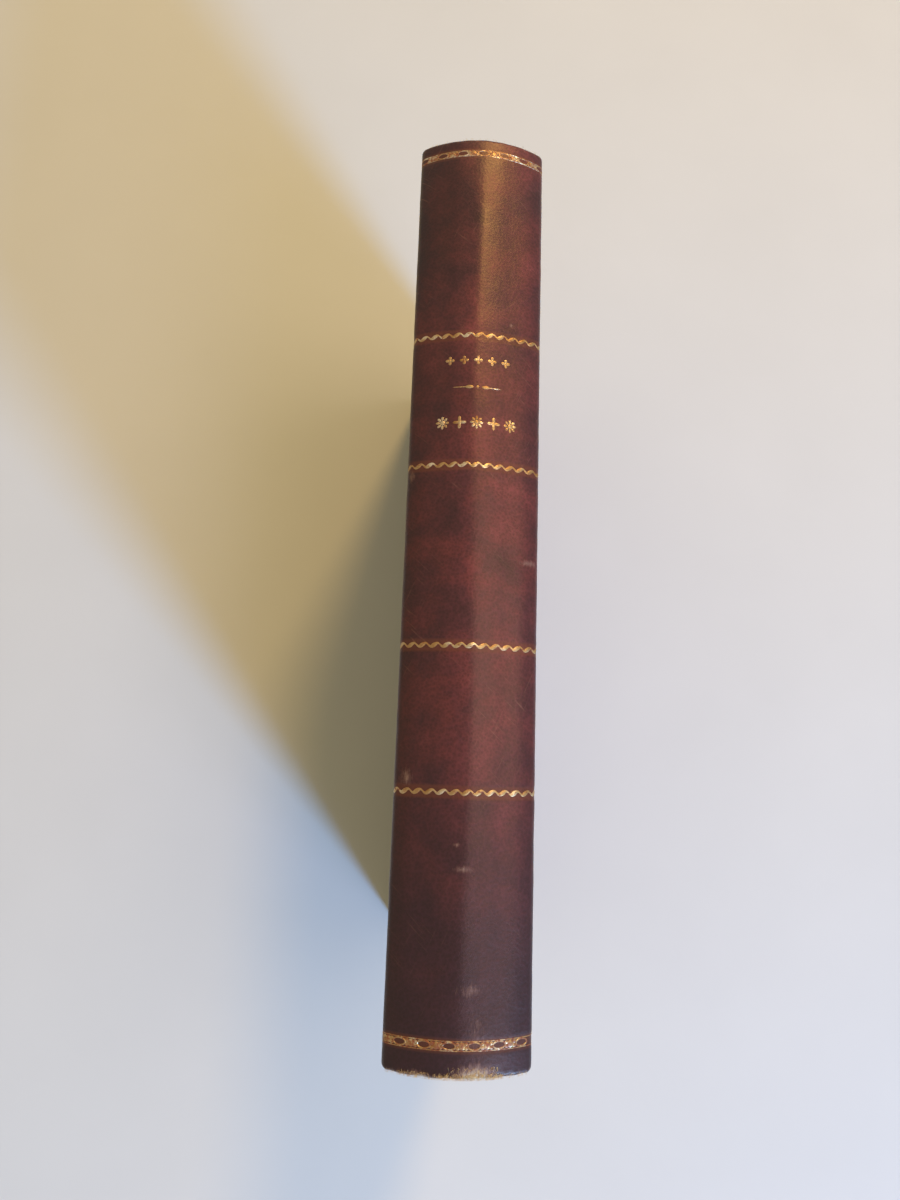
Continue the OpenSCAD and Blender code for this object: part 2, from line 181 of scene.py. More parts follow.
def addNode(tree, kind, *inputs, stops=(), **named):
    # A kind is named without its family, which is the tree's own or else the first that has it. Inputs
    # stand in the node's order, in a dictionary or as capitalised names, and other names are settings.
    # A MapRange's order is its value, the low and high that it comes from and those that it goes to
    families = (tree.bl_idname.removesuffix("Tree"), "ShaderNode", "FunctionNode", "")
    node = tree.nodes.new(next(family for family in families if hasattr(bpy.types, family + kind)) + kind)
    values = {name: value for name, value in named.items() if name[0].isupper()}
    for name in named.keys() - values.keys():
        setattr(node, name, named[name])
    for _ in stops[2:]:
        node.color_ramp.elements.new(0.5)
    for number, (position, colour) in enumerate(stops):
        element = node.color_ramp.elements[number]
        element.position, element.color = position, toLinear(colour)
    for number, value in enumerate(inputs):
        values |= value if isinstance(value, dict) else {number: value}
    feed(node, values)
    return node


def newMaterial(name, values=()):
    material = bpy.data.materials.new(name)
    material.use_nodes = True
    add, shader = partial(addNode, material.node_tree), material.node_tree.nodes["Principled BSDF"]
    feed(shader, dict(values))
    inMm = add("Mapping", add("TexCoord").outputs["Object"], Scale=(1000, 1000, 1000))
    return material, add, shader, inMm


calf = {
    "tones": [(0.26, "#371a1f"), (0.42, "#492127"), (0.57, "#5b272a"), (0.76, "#713234")],
    "mottleSize": 9.0, "grainSize": 0.62,
    # Worn skin: suede at first, then bare, and the fibre at last
    "wear": [(0.0, "#7c5449"), (0.45, "#96786a"), (1.0, "#c8b896")],
    "glair": "#6e3a20", "scratch": "#8d6453",
    # After the roughness: how dark the painted tail shade gets, its purple tint, and how dark the painted
    # shade on the left half gets
    "roughness": (0.36, 0.48), "tailShadeTone": 0.13, "paintedTailShade": "#1b0d18", "leftShadeTone": 0.52,
    # Zones in mm: the flanks under the back, the tail, the joints, the head's corner and the left half
    "flank": (104.0, 126.0), "tail": (-90.0, -22.0), "joints": (9.0, 13.4), "corner": (-13.0, 80.0, 128.0),
    "cornerReach": (6.0, 30.0), "left": (-8.5, -0.5),
}


def polishedCalf(name, scuffs=(), tooledRows=(), endWear=0.0):
    # Calendered sheepskin, stained wine-brown and polished: cloudy colour, fine pores and a
    # soft sheen that breaks up where the dressing has rubbed through to the fibre
    material, add, shader, inMm = newMaterial(name, {"Specular Tint": (1.0, 0.72, 0.55, 1.0),
                                                      "Specular IOR Level": 0.56})
    mottle = add("TexNoise", inMm, Scale=1 / calf["mottleSize"], Detail=7.0, Roughness=0.6, Distortion=0.25)
    base = add("ValToRGB", mottle, stops=calf["tones"])
    cloud = add("TexNoise", inMm, Scale=0.045, Detail=3.0)
    cloudTone = add("MapRange", cloud, 0.3, 0.7, 0.84, 1.14)
    clouded = add("VectorMath", base, cloudTone, operation="MULTIPLY")

    # Painted shade darkens the skin towards its tail, most on the back's face, and at the left of the head;
    # the flanks by the joints are darker too
    apart = add("SeparateXYZ", inMm).outputs
    paintedTailShade = add("MapRange", apart["Z"], *calf["flank"], 0.72, calf["tailShadeTone"])
    tail = add("MapRange", apart["Y"], *calf["tail"], paintedTailShade, 1.0, interpolation_type="SMOOTHSTEP")
    aside = add("Math", apart["X"], operation="ABSOLUTE")
    sides = add("MapRange", aside, *calf["joints"], 1.0, 0.7, interpolation_type="SMOOTHSTEP")
    corner = add("VectorMath", inMm, calf["corner"], operation="DISTANCE")
    head = add("MapRange", corner, *calf["cornerReach"], 0.55, 1.0, interpolation_type="SMOOTHSTEP")
    # Painted shade darkens the back's left half, which faces away from the lamps; it fades out down the
    # flanks
    leftShadeFloor = add("MapRange", apart["Z"], *calf["flank"], 1.0, calf["leftShadeTone"])
    left = add("MapRange", apart["X"], *calf["left"], leftShadeFloor, 1.0, interpolation_type="SMOOTHSTEP")
    for shade in (tail, sides, head, left):
        clouded = add("VectorMath", clouded, shade, operation="MULTIPLY")
    # A dark purple tint is painted in where the painted tail shade is deepest
    tailShadeTint = add("MapRange", tail, calf["tailShadeTone"], 1.0, 1.0, 0.0)
    tailShadeTint = add("VectorMath", toLinear(calf["paintedTailShade"])[:3], tailShadeTint, operation="MULTIPLY")
    clouded = add("VectorMath", clouded, tailShadeTint, operation="ADD")

    # Pores of the grain, drawn about twice as coarse as sheepskin's so that they show
    pores = add("TexVoronoi", inMm, Scale=1 / calf["grainSize"], Randomness=1.0)
    crepe = add("TexNoise", inMm, Scale=1.9, Detail=8.0, Roughness=0.72)
    grain = add("Math", pores, crepe, operation="MULTIPLY")
    poreTone = add("MapRange", grain, 0.08, 0.42, 0.74, 1.2)
    colour = add("VectorMath", clouded, poreTone, operation="MULTIPLY")

    # Fine scratches in two slanting directions, gathered in patches
    patch = add("TexNoise", inMm, Scale=0.075, Detail=2.0)
    patch = add("MapRange", patch, 0.42, 0.66)
    # The scratches dim with the painted tail shade
    patch = add("Math", patch, tail, operation="MULTIPLY")
    for slant, depth in ((0.75, 0.42), (-1.15, 0.3)):
        turned = add("VectorRotate", inMm, Angle=slant, rotation_type="Z_AXIS")
        drawn = add("Mapping", turned, Scale=(0.13, 2.9, 0.13))
        scratch = add("TexNoise", drawn, Scale=1.0, Detail=3.0, Roughness=0.55)
        scratch = add("MapRange", scratch, 0.63, 0.76, 0.0, depth)
        scratch = add("Math", scratch, patch, operation="MULTIPLY")
        colour = add("Mix", {7: toLinear(calf["scratch"]), 0: scratch, 6: colour}, data_type="RGBA")

    # Adhesive size brushed on before the gold darkens and warms a narrow strip beside each roll
    for row, reach in tooledRows:
        off = add("Math", apart["Y"], row, operation="SUBTRACT")
        off = add("Math", off, operation="ABSOLUTE")
        band = add("MapRange", off, reach, reach + 0.5, 0.3, 0.0)
        colour = add("Mix", {7: toLinear(calf["glair"]), 0: band, 6: colour}, data_type="RGBA")

    # Rubbed places: the two ends, where the skin is worn to its fibre, and single scuffs
    rubbed = None
    nap = add("Mapping", inMm, Scale=(1.9, 0.45, 1.9))
    breakUp = add("TexNoise", nap, Scale=1.0, Detail=7.0, Roughness=0.78)
    if endWear:
        reach = add("Math", apart["Y"], operation="ABSOLUTE")
        rubbed = add("MapRange", reach, 93.1, 94.9, 0.0, endWear)
    for centre, radius, strength in scuffs:
        away = add("VectorMath", inMm, centre, operation="SUBTRACT")
        away = add("VectorMath", away, tuple(1 / r for r in radius), operation="MULTIPLY")
        away = add("VectorMath", away, operation="LENGTH")
        spot = add("MapRange", away, 1.0, 0.1, 0.0, strength)
        rubbed = spot if rubbed is None else add("Math", rubbed, spot, operation="MAXIMUM")
    roughFrom = mottle
    if rubbed is not None:
        worn = add("Math", rubbed, breakUp, operation="ADD")
        worn = add("MapRange", worn, 0.72, 1.35)
        wearTone = add("ValToRGB", worn, stops=calf["wear"])
        colour = add("Mix", {0: worn, 6: colour, 7: wearTone}, data_type="RGBA")
        roughFrom = add("Math", mottle, worn, operation="ADD")
    roughness = add("MapRange", roughFrom, 0.3, 0.9, *calf["roughness"])
    bump = add("Bump", Strength=0.6, Distance=0.00007, Height=grain)
    feed(shader, {"Base Color": colour, "Roughness": roughness, "Normal": bump})
    return material


def leafGold(name, rubbed=0.0):
    # Gold leaf pressed through glair: bright where the tool burnished it, rubbed thin elsewhere
    material, add, shader, inMm = newMaterial(name)
    wear = add("TexNoise", inMm, Scale=1.3, Detail=7.0, Roughness=0.7)
    leaf = add("MapRange", wear, 0.36 + rubbed, 0.47 + 1.6 * rubbed)
    tone = add("TexNoise", inMm, Scale=0.35, Detail=4.0)
    gold = add("ValToRGB", tone, stops=[(0.3, "#9a713f"), (0.5, "#b69462"), (0.68, "#dac9a5")])
    colour = add("Mix", {6: toLinear("#84492a"), 0: leaf, 7: gold}, data_type="RGBA")
    metallic = add("MapRange", leaf, 0.0, 1.0, 0.25, 0.88)
    roughness = add("MapRange", tone, 0.3, 0.7, 0.55, 0.33)
    crackle = add("TexNoise", inMm, Scale=4.0, Detail=5.0)
    bump = add("Bump", Strength=0.5, Distance=0.00004, Height=crackle)
    feed(shader, {"Base Color": colour, "Metallic": metallic, "Roughness": roughness, "Normal": bump})
    return material


def fibrous(name, tones, size, fleck, roughness, bumpDepth, stretch=(1, 1, 1)):
    # Pulp or yarn: a cloudy tone, darker and lighter fibres at one scale, and no gloss
    material, add, shader, inMm = newMaterial(name, {"Roughness": roughness})
    shaped = add("Mapping", inMm, Scale=stretch)
    cloud = add("TexNoise", shaped, Scale=1 / size, Detail=6.0, Roughness=0.6)
    base = add("ValToRGB", cloud, stops=list(zip((0.3, 0.5, 0.7), tones)))
    fibre = add("TexNoise", shaped, Scale=1 / fleck, Detail=4.0, Roughness=0.8)
    tone = add("MapRange", fibre, 0.35, 0.65, 0.86, 1.08)
    colour = add("VectorMath", base, tone, operation="MULTIPLY")
    bump = add("Bump", Strength=0.6, Distance=bumpDepth * mm, Height=fibre)
    feed(shader, {"Base Color": colour, "Normal": bump})
    return material


def agedEndpaper(name):
    # Wove rag paper: browned from its edges by the air and offset by the turned-in leather,
    # with small rust-brown foxing
    material, add, shader, inMm = newMaterial(name, {"Roughness": 0.88})
    cloud = add("TexNoise", inMm, Scale=0.06, Detail=7.0, Roughness=0.6)
    base = add("ValToRGB", cloud, stops=[(0.3, "#d3c197"), (0.5, "#dccda6"), (0.7, "#e2d5b1")])
    apart = add("SeparateXYZ", inMm).outputs
    reach = add("Math", apart["Y"], operation="ABSOLUTE")
    ends = add("MapRange", reach, 70.0, 92.0)
    fore = add("MapRange", apart["Z"], 22.0, 3.0)
    edge = add("Math", ends, fore, operation="MAXIMUM")
    edge = add("Math", edge, cloud, operation="MULTIPLY")
    browned = add("Mix", {7: toLinear("#9b7546"), 0: edge, 6: base}, data_type="RGBA")
    spots = add("TexVoronoi", inMm, Scale=0.14, Randomness=1.0)
    few = add("MapRange", cloud, 0.54, 0.4, 0.0, 0.55)
    fox = add("MapRange", spots, 0.17, 0.04, 0.0, few)
    colour = add("Mix", {7: toLinear("#9a6636"), 0: fox, 6: browned}, data_type="RGBA")
    felt = add("TexNoise", inMm, Scale=2.2, Detail=6.0)
    bump = add("Bump", Strength=0.4, Distance=0.00003, Height=felt)
    feed(shader, {"Base Color": colour, "Normal": bump})
    return material


def trimmedLeaves(name):
    # The plough-trimmed edges of a block of paper: leaf after leaf in slightly different
    # creams, browned and dusty towards the head and the outer leaves
    material, add, shader, inMm = newMaterial(name, {"Roughness": 0.82})
    leafPlace = add("UVMap", uv_map="place").outputs["UV"]
    lines = add("Mapping", leafPlace, Scale=(1.0, 0.004, 1.0))
    perLeaf = add("TexNoise", lines, Scale=3.4, Detail=3.0, Roughness=0.8)
    base = add("ValToRGB", perLeaf, stops=[(0.28, "#9c8256"), (0.45, "#c5ad7c"), (0.56, "#d6c294"),
                                           (0.72, "#e4d5ae")])
    dust = add("TexNoise", inMm, Scale=0.12, Detail=7.0, Roughness=0.65)
    apart = add("SeparateXYZ", inMm).outputs
    head = add("MapRange", apart["Y"], 88.0, 92.0, 0.4, 0.85)
    soil = add("Math", dust, head, operation="MULTIPLY")
    colour = add("Mix", {7: toLinear("#7d6544"), 0: soil, 6: base}, data_type="RGBA")
    bump = add("Bump", Strength=0.7, Distance=0.00006, Height=perLeaf)
    feed(shader, {"Base Color": colour, "Normal": bump})
    return material


def openMull(name):
    # Starched cotton gauze under glue: a grid of yarns with glue-brown meshes between them
    material, add, shader, inMm = newMaterial(name, {"Roughness": 0.8})
    yarn = 2 * math.pi / 0.9  # a yarn each 0.9 mm, drawn coarser than mull's 0.6 mm to show
    apart = add("SeparateXYZ", inMm).outputs
    rows = []
    for axis in ("X", "Y"):
        phase = add("Math", apart[axis], yarn, operation="MULTIPLY")
        rows.append(add("Math", phase, operation="SINE"))
    mesh = add("Math", rows[0], rows[1], operation="MAXIMUM")
    weave = add("MapRange", mesh, -0.2, 0.5)
    colour = add("Mix", {6: toLinear("#8a6a3e"), 7: toLinear("#cdbf9c"), 0: weave}, data_type="RGBA")
    bump = add("Bump", Strength=0.8, Distance=0.0001, Height=weave)
    feed(shader, {"Base Color": colour, "Normal": bump})
    return material


def woundSilk(name, hexColour):
    # Twisted silk: a tight sheen along each turn and little colour change
    material, add, shader, inMm = newMaterial(name, {"Roughness": 0.42, "Sheen Weight": 0.3})
    twist = add("TexNoise", inMm, Scale=6.0, Detail=3.0)
    tone = add("MapRange", twist, 0.3, 0.7, 0.75, 1.15)
    colour = add("VectorMath", toLinear(hexColour)[:3], tone, operation="MULTIPLY")
    feed(shader, {"Base Color": colour})
    return material


rolls = ("headChain", "wave1", "wave2", "wave3", "wave4", "tailChain")
# The rolls and tools of the back: height from the middle, tilt along the path in mm per mm
tooling = {
    "headChain": (91.3, -0.004), "wave1": (47.8, 0.004), "wave2": (19.1, -0.006), "wave3": (-17.9, -0.004),
    "wave4": (-45.7, 0.006), "tailChain": (-89.4, 0.004), "small": (42.0, 0.0), "rule": (36.0, 0.0),
    "large": (28.2, 0.0),
}
# Half height and half length of the rows that don't cross the back
shortRows = {"small": (0.9, 7.4), "rule": (0.45, 5.8), "large": (1.3, 8.9)}
# Scuffs: centre, radii and strength
backScuffs = [
    ((-12.6, 17.0, 127.5), (1.3, 2.0, 3.0), 0.6), ((-11.3, -43.2, 128.8), (2.4, 3.0, 3.0), 0.5),
    ((-0.2, -59.5, 132.0), (3.6, 1.2, 3.0), 0.48), ((1.8, -80.4, 132.0), (5.4, 2.4, 3.0), 0.4),
    ((11.4, -0.4, 128.9), (3.4, 1.4, 2.6), 0.52), ((-1.4, -55.2, 132.0), (1.3, 0.8, 3.0), 0.46),
    ((7.0, 51.0, 131.3), (0.7, 0.9, 2.0), 0.5), ((1.0, 95.0, 131.8), (12.0, 2.0, 4.0), 0.42),
    ((3.0, -96.0, 131.8), (6.4, 5.0, 3.4), 1.15),
    ((-7.0, -95.6, 131.0), (6.0, 2.6, 3.4), 0.9), ((3.0, -88.0, 132.0), (4.6, 9.0, 3.0), 0.3),
]
spineCalf = polishedCalf("polishedCalfBack", backScuffs, [(tooling[row][0], 0.95) for row in rolls], 0.42)
coverCalf = polishedCalf("polishedCalfSides", [
    ((x, y, 0.0), (4.0, 3.0, 3.0), 0.5) for x in (-13.7, 13.7) for y in (-95, 95)], endWear=0.22)
goldLeaf = leafGold("pressedGoldLeaf")
rubbedLeaf = leafGold("rubbedLeafGold", 0.07)
leafEdges = trimmedLeaves("ploughTrimmedLeaves")
endpaper = agedEndpaper("agedWoveEndpaper")
# Tones, mm of a cloud and of a fibre, roughness and mm of relief
millboard = fibrous("rolledMillboard", ("#6f6049", "#8a7858", "#a08d6c"), 3.0, 0.5, 0.92, 0.08)
greyCard = fibrous("pastedSpineCard", ("#8b7350", "#a08a66", "#b49d78"), 4.0, 0.4, 0.9, 0.05)
kraftLining = fibrous("pastedLiningPaper", ("#80653f", "#94784e", "#a98d60"), 5.0, 0.4, 0.88, 0.03)
hempCord = fibrous("pliedHempCord", ("#a89468", "#c4b389", "#d6c9a4"), 1.2, 0.25, 0.9, 0.12, (3, 0.6, 1))
mullCloth = openMull("starchedMull")
redSilk = woundSilk("woundRedSilk", "#8c2a22")
creamSilk = woundSilk("woundCreamSilk", "#dccb9c")
print("materials made")

leatherBack = {
    "pathStep": 0.32, "lipRadius": 0.9, "skin": 0.8, "turnedFrom": 1.3, "turnedTo": 1.8, "turnIn": 15.0,
    "cardEnd": 93.65, "unevenness": 0.05, "impression": 0.085, "lipWear": 0.16,
    "crestSlope": 0.165, "crestReach": 3.0, "crestRound": 1.25, "crestSway": 0.45, "crestWave": 19.0,
}


def crestSink(s, y):
    # The card under the leather bends more at its middle, which leaves a soft crest between the ends
    reach, soft = leatherBack["crestReach"], leatherBack["crestRound"]
    aside = s + leatherBack["crestSway"] * np.sin(y / leatherBack["crestWave"])
    away = np.sqrt(aside * aside + soft * soft) - soft
    fall = leatherBack["crestSlope"] * reach * (1 - np.exp(-away / reach))
    return fall * (1 - ease(np.abs(s), 6.0, 12.6)) * (1 - 0.9 * ease(np.abs(y), 74.0, 93.0))


def backProfile():
    # Matching outer and inner [y, depth] points, from the turned-in edge at the head round to the tail's
    half, lip = back["halfLength"], leatherBack["lipRadius"]
    rows = [tooling[row][0] for row in rolls]
    heights = set(np.linspace(half - lip - 0.35, -half + lip + 0.35, 150).round(3))
    heights |= {round(row + off, 3) for row in rows for off in np.linspace(-1.5, 1.5, 11)}
    face = [y for y in sorted(heights, reverse=True) if abs(y) < half - lip - 0.1]
    outer, inner = [], []
    for t in np.linspace(0, 1, 9):
        start, run = half - leatherBack["turnIn"], leatherBack["turnIn"] - lip
        outer.append((start + t * (run - 0.02), leatherBack["turnedTo"]))
        inner.append((start + t * (run - 0.47), leatherBack["turnedFrom"]))
    for t in np.linspace(0, 1, 15):
        outer.append((half - lip + lip * math.sin(math.pi * t), lip + lip * math.cos(math.pi * t)))
        inner.append((leatherBack["cardEnd"], leatherBack["turnedFrom"] - t * 0.5 - 0.0005))
    lipCount = len(outer)
    outer += [(y, 0.0) for y in face]
    inner += [(min(y, leatherBack["cardEnd"] - 0.02), leatherBack["skin"]) for y in face]
    outer += [(-y, d) for y, d in reversed(outer[:lipCount])]
    inner += [(-y, d) for y, d in reversed(inner[:lipCount])]
    return np.array(outer), np.array(inner)


def rowMask(s, y, reach, soft):
    # 1 in the impressions of the rolls and tools, easing to 0 around them
    mask = np.zeros_like(y)
    for name, (row, tilt) in tooling.items():
        if name in shortRows:
            half, span = shortRows[name]
            near = ease(span + 0.6 - np.abs(s), 0, 0.6) * (1 - ease(np.abs(y - row), half, half + soft))
        else:
            near = 1 - ease(np.abs(y - row - tilt * s), reach, reach + soft)
        mask = np.maximum(mask, near)
    return mask


def makeSpineLeather():
    outer, inner = backProfile()
    rows, columns = int(2 * halfGirth / leatherBack["pathStep"]), len(outer)
    s = np.linspace(-halfGirth, halfGirth, rows)[:, None]
    skin = onBack(s, outer[None, :, 0], outer[None, :, 1]).reshape(-1, 3)
    lining = onBack(s, inner[None, :, 0], inner[None, :, 1]).reshape(-1, 3)
    faces = gridFaces(rows, columns)
    normals = skinNormals(skin, faces)
    if normals[(rows // 2) * columns + columns // 2, 2] < 0:
        normals = -normals
    sAll = np.repeat(s[:, 0], columns)
    yAll, depthAll = np.tile(outer[:, 0], rows), np.tile(outer[:, 1], rows)
    onFace = depthAll < 0.9
    tooled = rowMask(sAll, yAll, 0.8, 0.7)
    uneven = leatherBack["unevenness"] * (0.5 + 0.5 * swell(skin, 14.0, 3)) + 0.02 * (1 + swell(skin, 4.0, 5))
    lipReach = ease(np.abs(yAll), 93.4, 94.8)
    ragged = np.clip(0.35 + 0.5 * swell(skin, 1.7, 11) + 0.35 * swell(skin, 4.5, 12), 0, 1)
    heavier = np.where(yAll < 0, 1.0, 0.2)
    sink = uneven * (1 - tooled) + leatherBack["impression"] * tooled + crestSink(sAll, yAll)
    sink = sink * onFace + lipReach * ragged * heavier * leatherBack["lipWear"]
    # Soft hollow just above each joint, where the skin is drawn over the ridge
    sink += onFace * 0.05 * np.exp(-((np.abs(sAll) - arcLength - ridgeLength - 0.9) / 0.5) ** 2)
    skin = skin - normals * np.maximum(sink, 0.0)[:, None]
    uv = np.stack([np.tile(sAll, 2), np.tile(yAll, 2)], -1)
    piece = makePiece("spineLeather", thicken(skin, lining, faces), spineCalf, uv, 50)
    enrol(piece, nodes=["spine_leather"])


makeSpineLeather()
print("leather of the back made")


def sectionCurve(height):
    # The leather's face across the back at one height, without its unevenness
    data = bpy.data.curves.new("backSection", "CURVE")
    data.dimensions = "3D"
    path = np.linspace(-halfGirth, halfGirth, 1200)
    points = onBack(path, 0.0, crestSink(path, height)) * mm
    spline = data.splines.new("POLY")
    spline.points.add(len(points) - 1)
    spline.points.foreach_set("co", np.hstack([points, np.ones((len(points), 1))]).ravel())
    return linkNew("backSection", data)


wrapInputs = {
    "Section": "Object", "Row": "Float", "Tilt": "Float", "HalfGirth": "Float", "Material": "Material",
}


def newTree(name, *numbers, **others):
    # Inputs that are plain numbers come by name alone, and those of the wrapping stand in every tree
    tree = bpy.data.node_groups.new(name, "GeometryNodeTree")
    tree.interface.new_socket("Geometry", in_out="INPUT", socket_type="NodeSocketGeometry")
    for label, kind in {**dict.fromkeys(numbers, "Float"), **others, **wrapInputs}.items():
        tree.interface.new_socket(label, in_out="INPUT", socket_type="NodeSocket" + kind)
    tree.interface.new_socket("Geometry", in_out="OUTPUT", socket_type="NodeSocketGeometry")
    add = partial(addNode, tree)
    return tree, add, add("NodeGroupInput").outputs


def wrapGroup():
    # Bends flat geometry, whose X is a path length and Z a height over the leather, round the section
    tree, add, given = newTree("wrapRoundBack")
    real = add("RealizeInstances", given["Geometry"])
    apart = add("SeparateXYZ", add("InputPosition")).outputs
    section = add("ObjectInfo", Object=given["Section"], transform_space="RELATIVE").outputs["Geometry"]
    run = add("Math", apart["X"], given["HalfGirth"], operation="ADD")
    sample = add("SampleCurve", Curves=section, Length=run, mode="LENGTH", use_all_curves=True)
    out = add("VectorMath", sample.outputs["Tangent"], (0, 1, 0), operation="CROSS_PRODUCT")
    raised = add("VectorMath", {0: out, 3: apart["Z"]}, operation="SCALE")
    on = add("VectorMath", sample.outputs["Position"], raised, operation="ADD")
    tilted = add("Math", apart["X"], given["Tilt"], given["Row"], operation="MULTIPLY_ADD")
    height = add("Math", apart["Y"], tilted, operation="ADD")
    lift = add("CombineXYZ", Y=height)
    place = add("VectorMath", on, lift, operation="ADD")
    wrapped = add("SetPosition", real, Position=place)
    coloured = add("SetMaterial", wrapped, Material=given["Material"])
    add("NodeGroupOutput", coloured)
    return tree


wrapTree = wrapGroup()


def wrapUp(add, given, flat):
    # Wraps flat gold, fibres or silk round the back
    shared = {label: given[label] for label in wrapInputs}
    wrap = add("Group", {"Geometry": flat, **shared}, node_tree=wrapTree)
    real = add("RealizeInstances", wrap)
    return add("SetMaterial", real, Material=given["Material"])


def finishTree(tree, add, given, flat):
    add("NodeGroupOutput", wrapUp(add, given, flat))
    return tree


def growPiece(name, tree, slot, nodes, material, row, sizes, sectionAt=None, tilt=0.0, **values):
    # Runs a tree on an empty mesh, keeps the result as a plain mesh and drops the modifier.
    # Sizes are in mm, the row is a height on the back, and names that the tree lacks are passed over
    section = sectionCurve(row if sectionAt is None else sectionAt)
    values |= {"Section": section, "Tilt": tilt, "Material": material}
    values |= {label: size * mm for label, size in {"Row": row, "HalfGirth": halfGirth, **sizes}.items()}
    holder = linkNew(name + "Seed", bpy.data.meshes.new(name + "Seed"))
    modifier = holder.modifiers.new("grow", "NODES")
    modifier.node_group = tree
    for item in tree.interface.items_tree:
        if item.item_type == "SOCKET" and item.in_out == "INPUT" and item.name in values:
            modifier[item.identifier] = values[item.name]
    graph = bpy.context.evaluated_depsgraph_get()
    mesh = bpy.data.meshes.new_from_object(holder.evaluated_get(graph), depsgraph=graph)
    mesh.name = name
    holder.modifiers.remove(modifier)
    for spare in (holder, section):
        bpy.data.objects.remove(spare)
    enrol(linkSmooth(mesh, 40), nodes=nodes)


gilding = {
    "tooledHalf": 15.2, "goldTop": -0.024, "pressed": 0.075, "relief": 0.18,
    "wavePitch": 2.4, "waveHeight": 1.5, "waveLine": 0.86, "lean": -0.1, "swing": 0.3, "wavePoints": 190,
    # How much each wave's breadth wanders: size of the noise per metre, its weight and the least share
    "waver": (900.0, 0.5, 0.78),
    "chainPitch": 4.6, "chainHeight": 1.7, "headChainHeight": 1.48, "tailChainShift": -1.8,
    # Shares of a link's pitch and height: the oval, the block between two ovals and its corners
    "oval": (0.26, 0.36), "block": (0.16, 0.4), "corners": (0.17, 0.2), "sideLines": 0.46,
    "ovalLine": 0.17, "sideLine": 0.1, "dome": 0.085, "eyeDome": 0.095, "cornerBead": (0.42, 0.34, 0.08),
    "smallPitch": 3.0, "largePitch": 3.6,
    # Count, ring radius, petal length and petal breadth, then the eye's radius and its segments
    "smallFlower": (4, 0.56, 0.46, 0.36, 0.32, 10), "flower": (8, 0.95, 0.5, 0.3, 0.52, 12),
    "star": (4, 0.74, 0.74, 0.36, 0.42, 10),
    # Each leaf of the rule: shares of the half rule for its length and place, half breadth and height
    "ruleLength": 10.8, "ruleLeaves": [(0.17, 0.32, 0.4, 0.09), (0.33, 0.66, 0.13, 0.07)],
}


def strokeProfile(add, relief, count=8):
    # The pillow-like cross-section that a heated tool leaves in gold
    ring = add("CurvePrimitiveCircle", Resolution=count, Radius=1.0)
    return add("Transform", ring, Scale=(1.0, relief, 1.0))


def waveTree():
    # A line that climbs and falls as a sine with a second harmonic, and swells on its way up
    tree, add, given = newTree("waveRoll", "HalfLength", "Pitch", "Height", "Line", "Swing", "Depth",
                               Seed="Int")
    left = add("CombineXYZ", X=add("Math", given["HalfLength"], -1.0, operation="MULTIPLY"))
    line = add("CurvePrimitiveLine", Start=left, End=add("CombineXYZ", X=given["HalfLength"]))
    fine = add("ResampleCurve", line, Count=gilding["wavePoints"], mode="COUNT")
    place = add("InputPosition")
    x = add("SeparateXYZ", place).outputs["X"]
    phase = add("Math", x, given["Pitch"], operation="DIVIDE")
    phase = add("Math", phase, 2 * math.pi, operation="MULTIPLY")
    reach = add("Math", given["Height"], given["Line"], operation="SUBTRACT")
    reach = add("Math", reach, 0.5, operation="MULTIPLY")
    # A second harmonic leans each wave, so that it climbs longer than it falls
    twice = add("Math", phase, 2.0, operation="MULTIPLY")
    lean = add("Math", twice, operation="SINE")
    lean = add("Math", lean, gilding["lean"], operation="MULTIPLY")
    rise = add("Math", phase, operation="SINE")
    rise = add("Math", rise, lean, operation="ADD")
    y = add("Math", rise, reach, operation="MULTIPLY")
    waved = add("SetPosition", fine, Offset=add("CombineXYZ", Y=y, Z=given["Depth"]))
    # Broad where the line climbs, thin where it turns, and never twice the same
    slope = add("Math", phase, 0.25, operation="ADD")
    slope = add("Math", slope, operation="COSINE")
    steady = add("Math", 1.0, given["Swing"], operation="SUBTRACT")
    wide = add("Math", slope, given["Swing"], steady, operation="MULTIPLY_ADD")
    size, weight, least = gilding["waver"]
    shaky = add("TexNoise", place, Scale=size, Detail=2.0, W=given["Seed"], noise_dimensions="4D")
    shaky = add("Math", shaky, weight, least, operation="MULTIPLY_ADD")
    wide = add("Math", wide, shaky, operation="MULTIPLY")
    half = add("Math", given["Line"], 0.5, operation="MULTIPLY")
    half = add("Math", wide, half, operation="MULTIPLY")
    profile = strokeProfile(add, gilding["relief"])
    stroke = add("CurveToMesh", waved, {"Fill Caps": True, "Profile Curve": profile}, Scale=half)
    return finishTree(tree, add, given, stroke)


def levelLine(add, half, share, count, **offset):
    # A line of count points along the path, over a share of its half length to each side
    start, end = (add("CombineXYZ", X=add("Math", half, way, operation="MULTIPLY"), **offset)
                  for way in (-share, share))
    return add("ResampleCurve", add("CurvePrimitiveLine", Start=start, End=end), Count=count, mode="COUNT")


def along(add, count, pitch, start):
    # Points on a row, count of them a pitch apart from start
    return add("MeshLine", {"Start Location": add("CombineXYZ", X=start)}, Count=count,
               Offset=add("CombineXYZ", X=pitch), mode="OFFSET")


def bead(add, size, segments=8, rings=5):
    return add("Transform", add("MeshUVSphere", Segments=segments, Rings=rings, Radius=mm), Scale=size)


def placedOn(add, points, part, depth):
    spots = add("InstanceOnPoints", points, Instance=part)
    return add("SetPosition", spots, Offset=add("CombineXYZ", Z=depth))


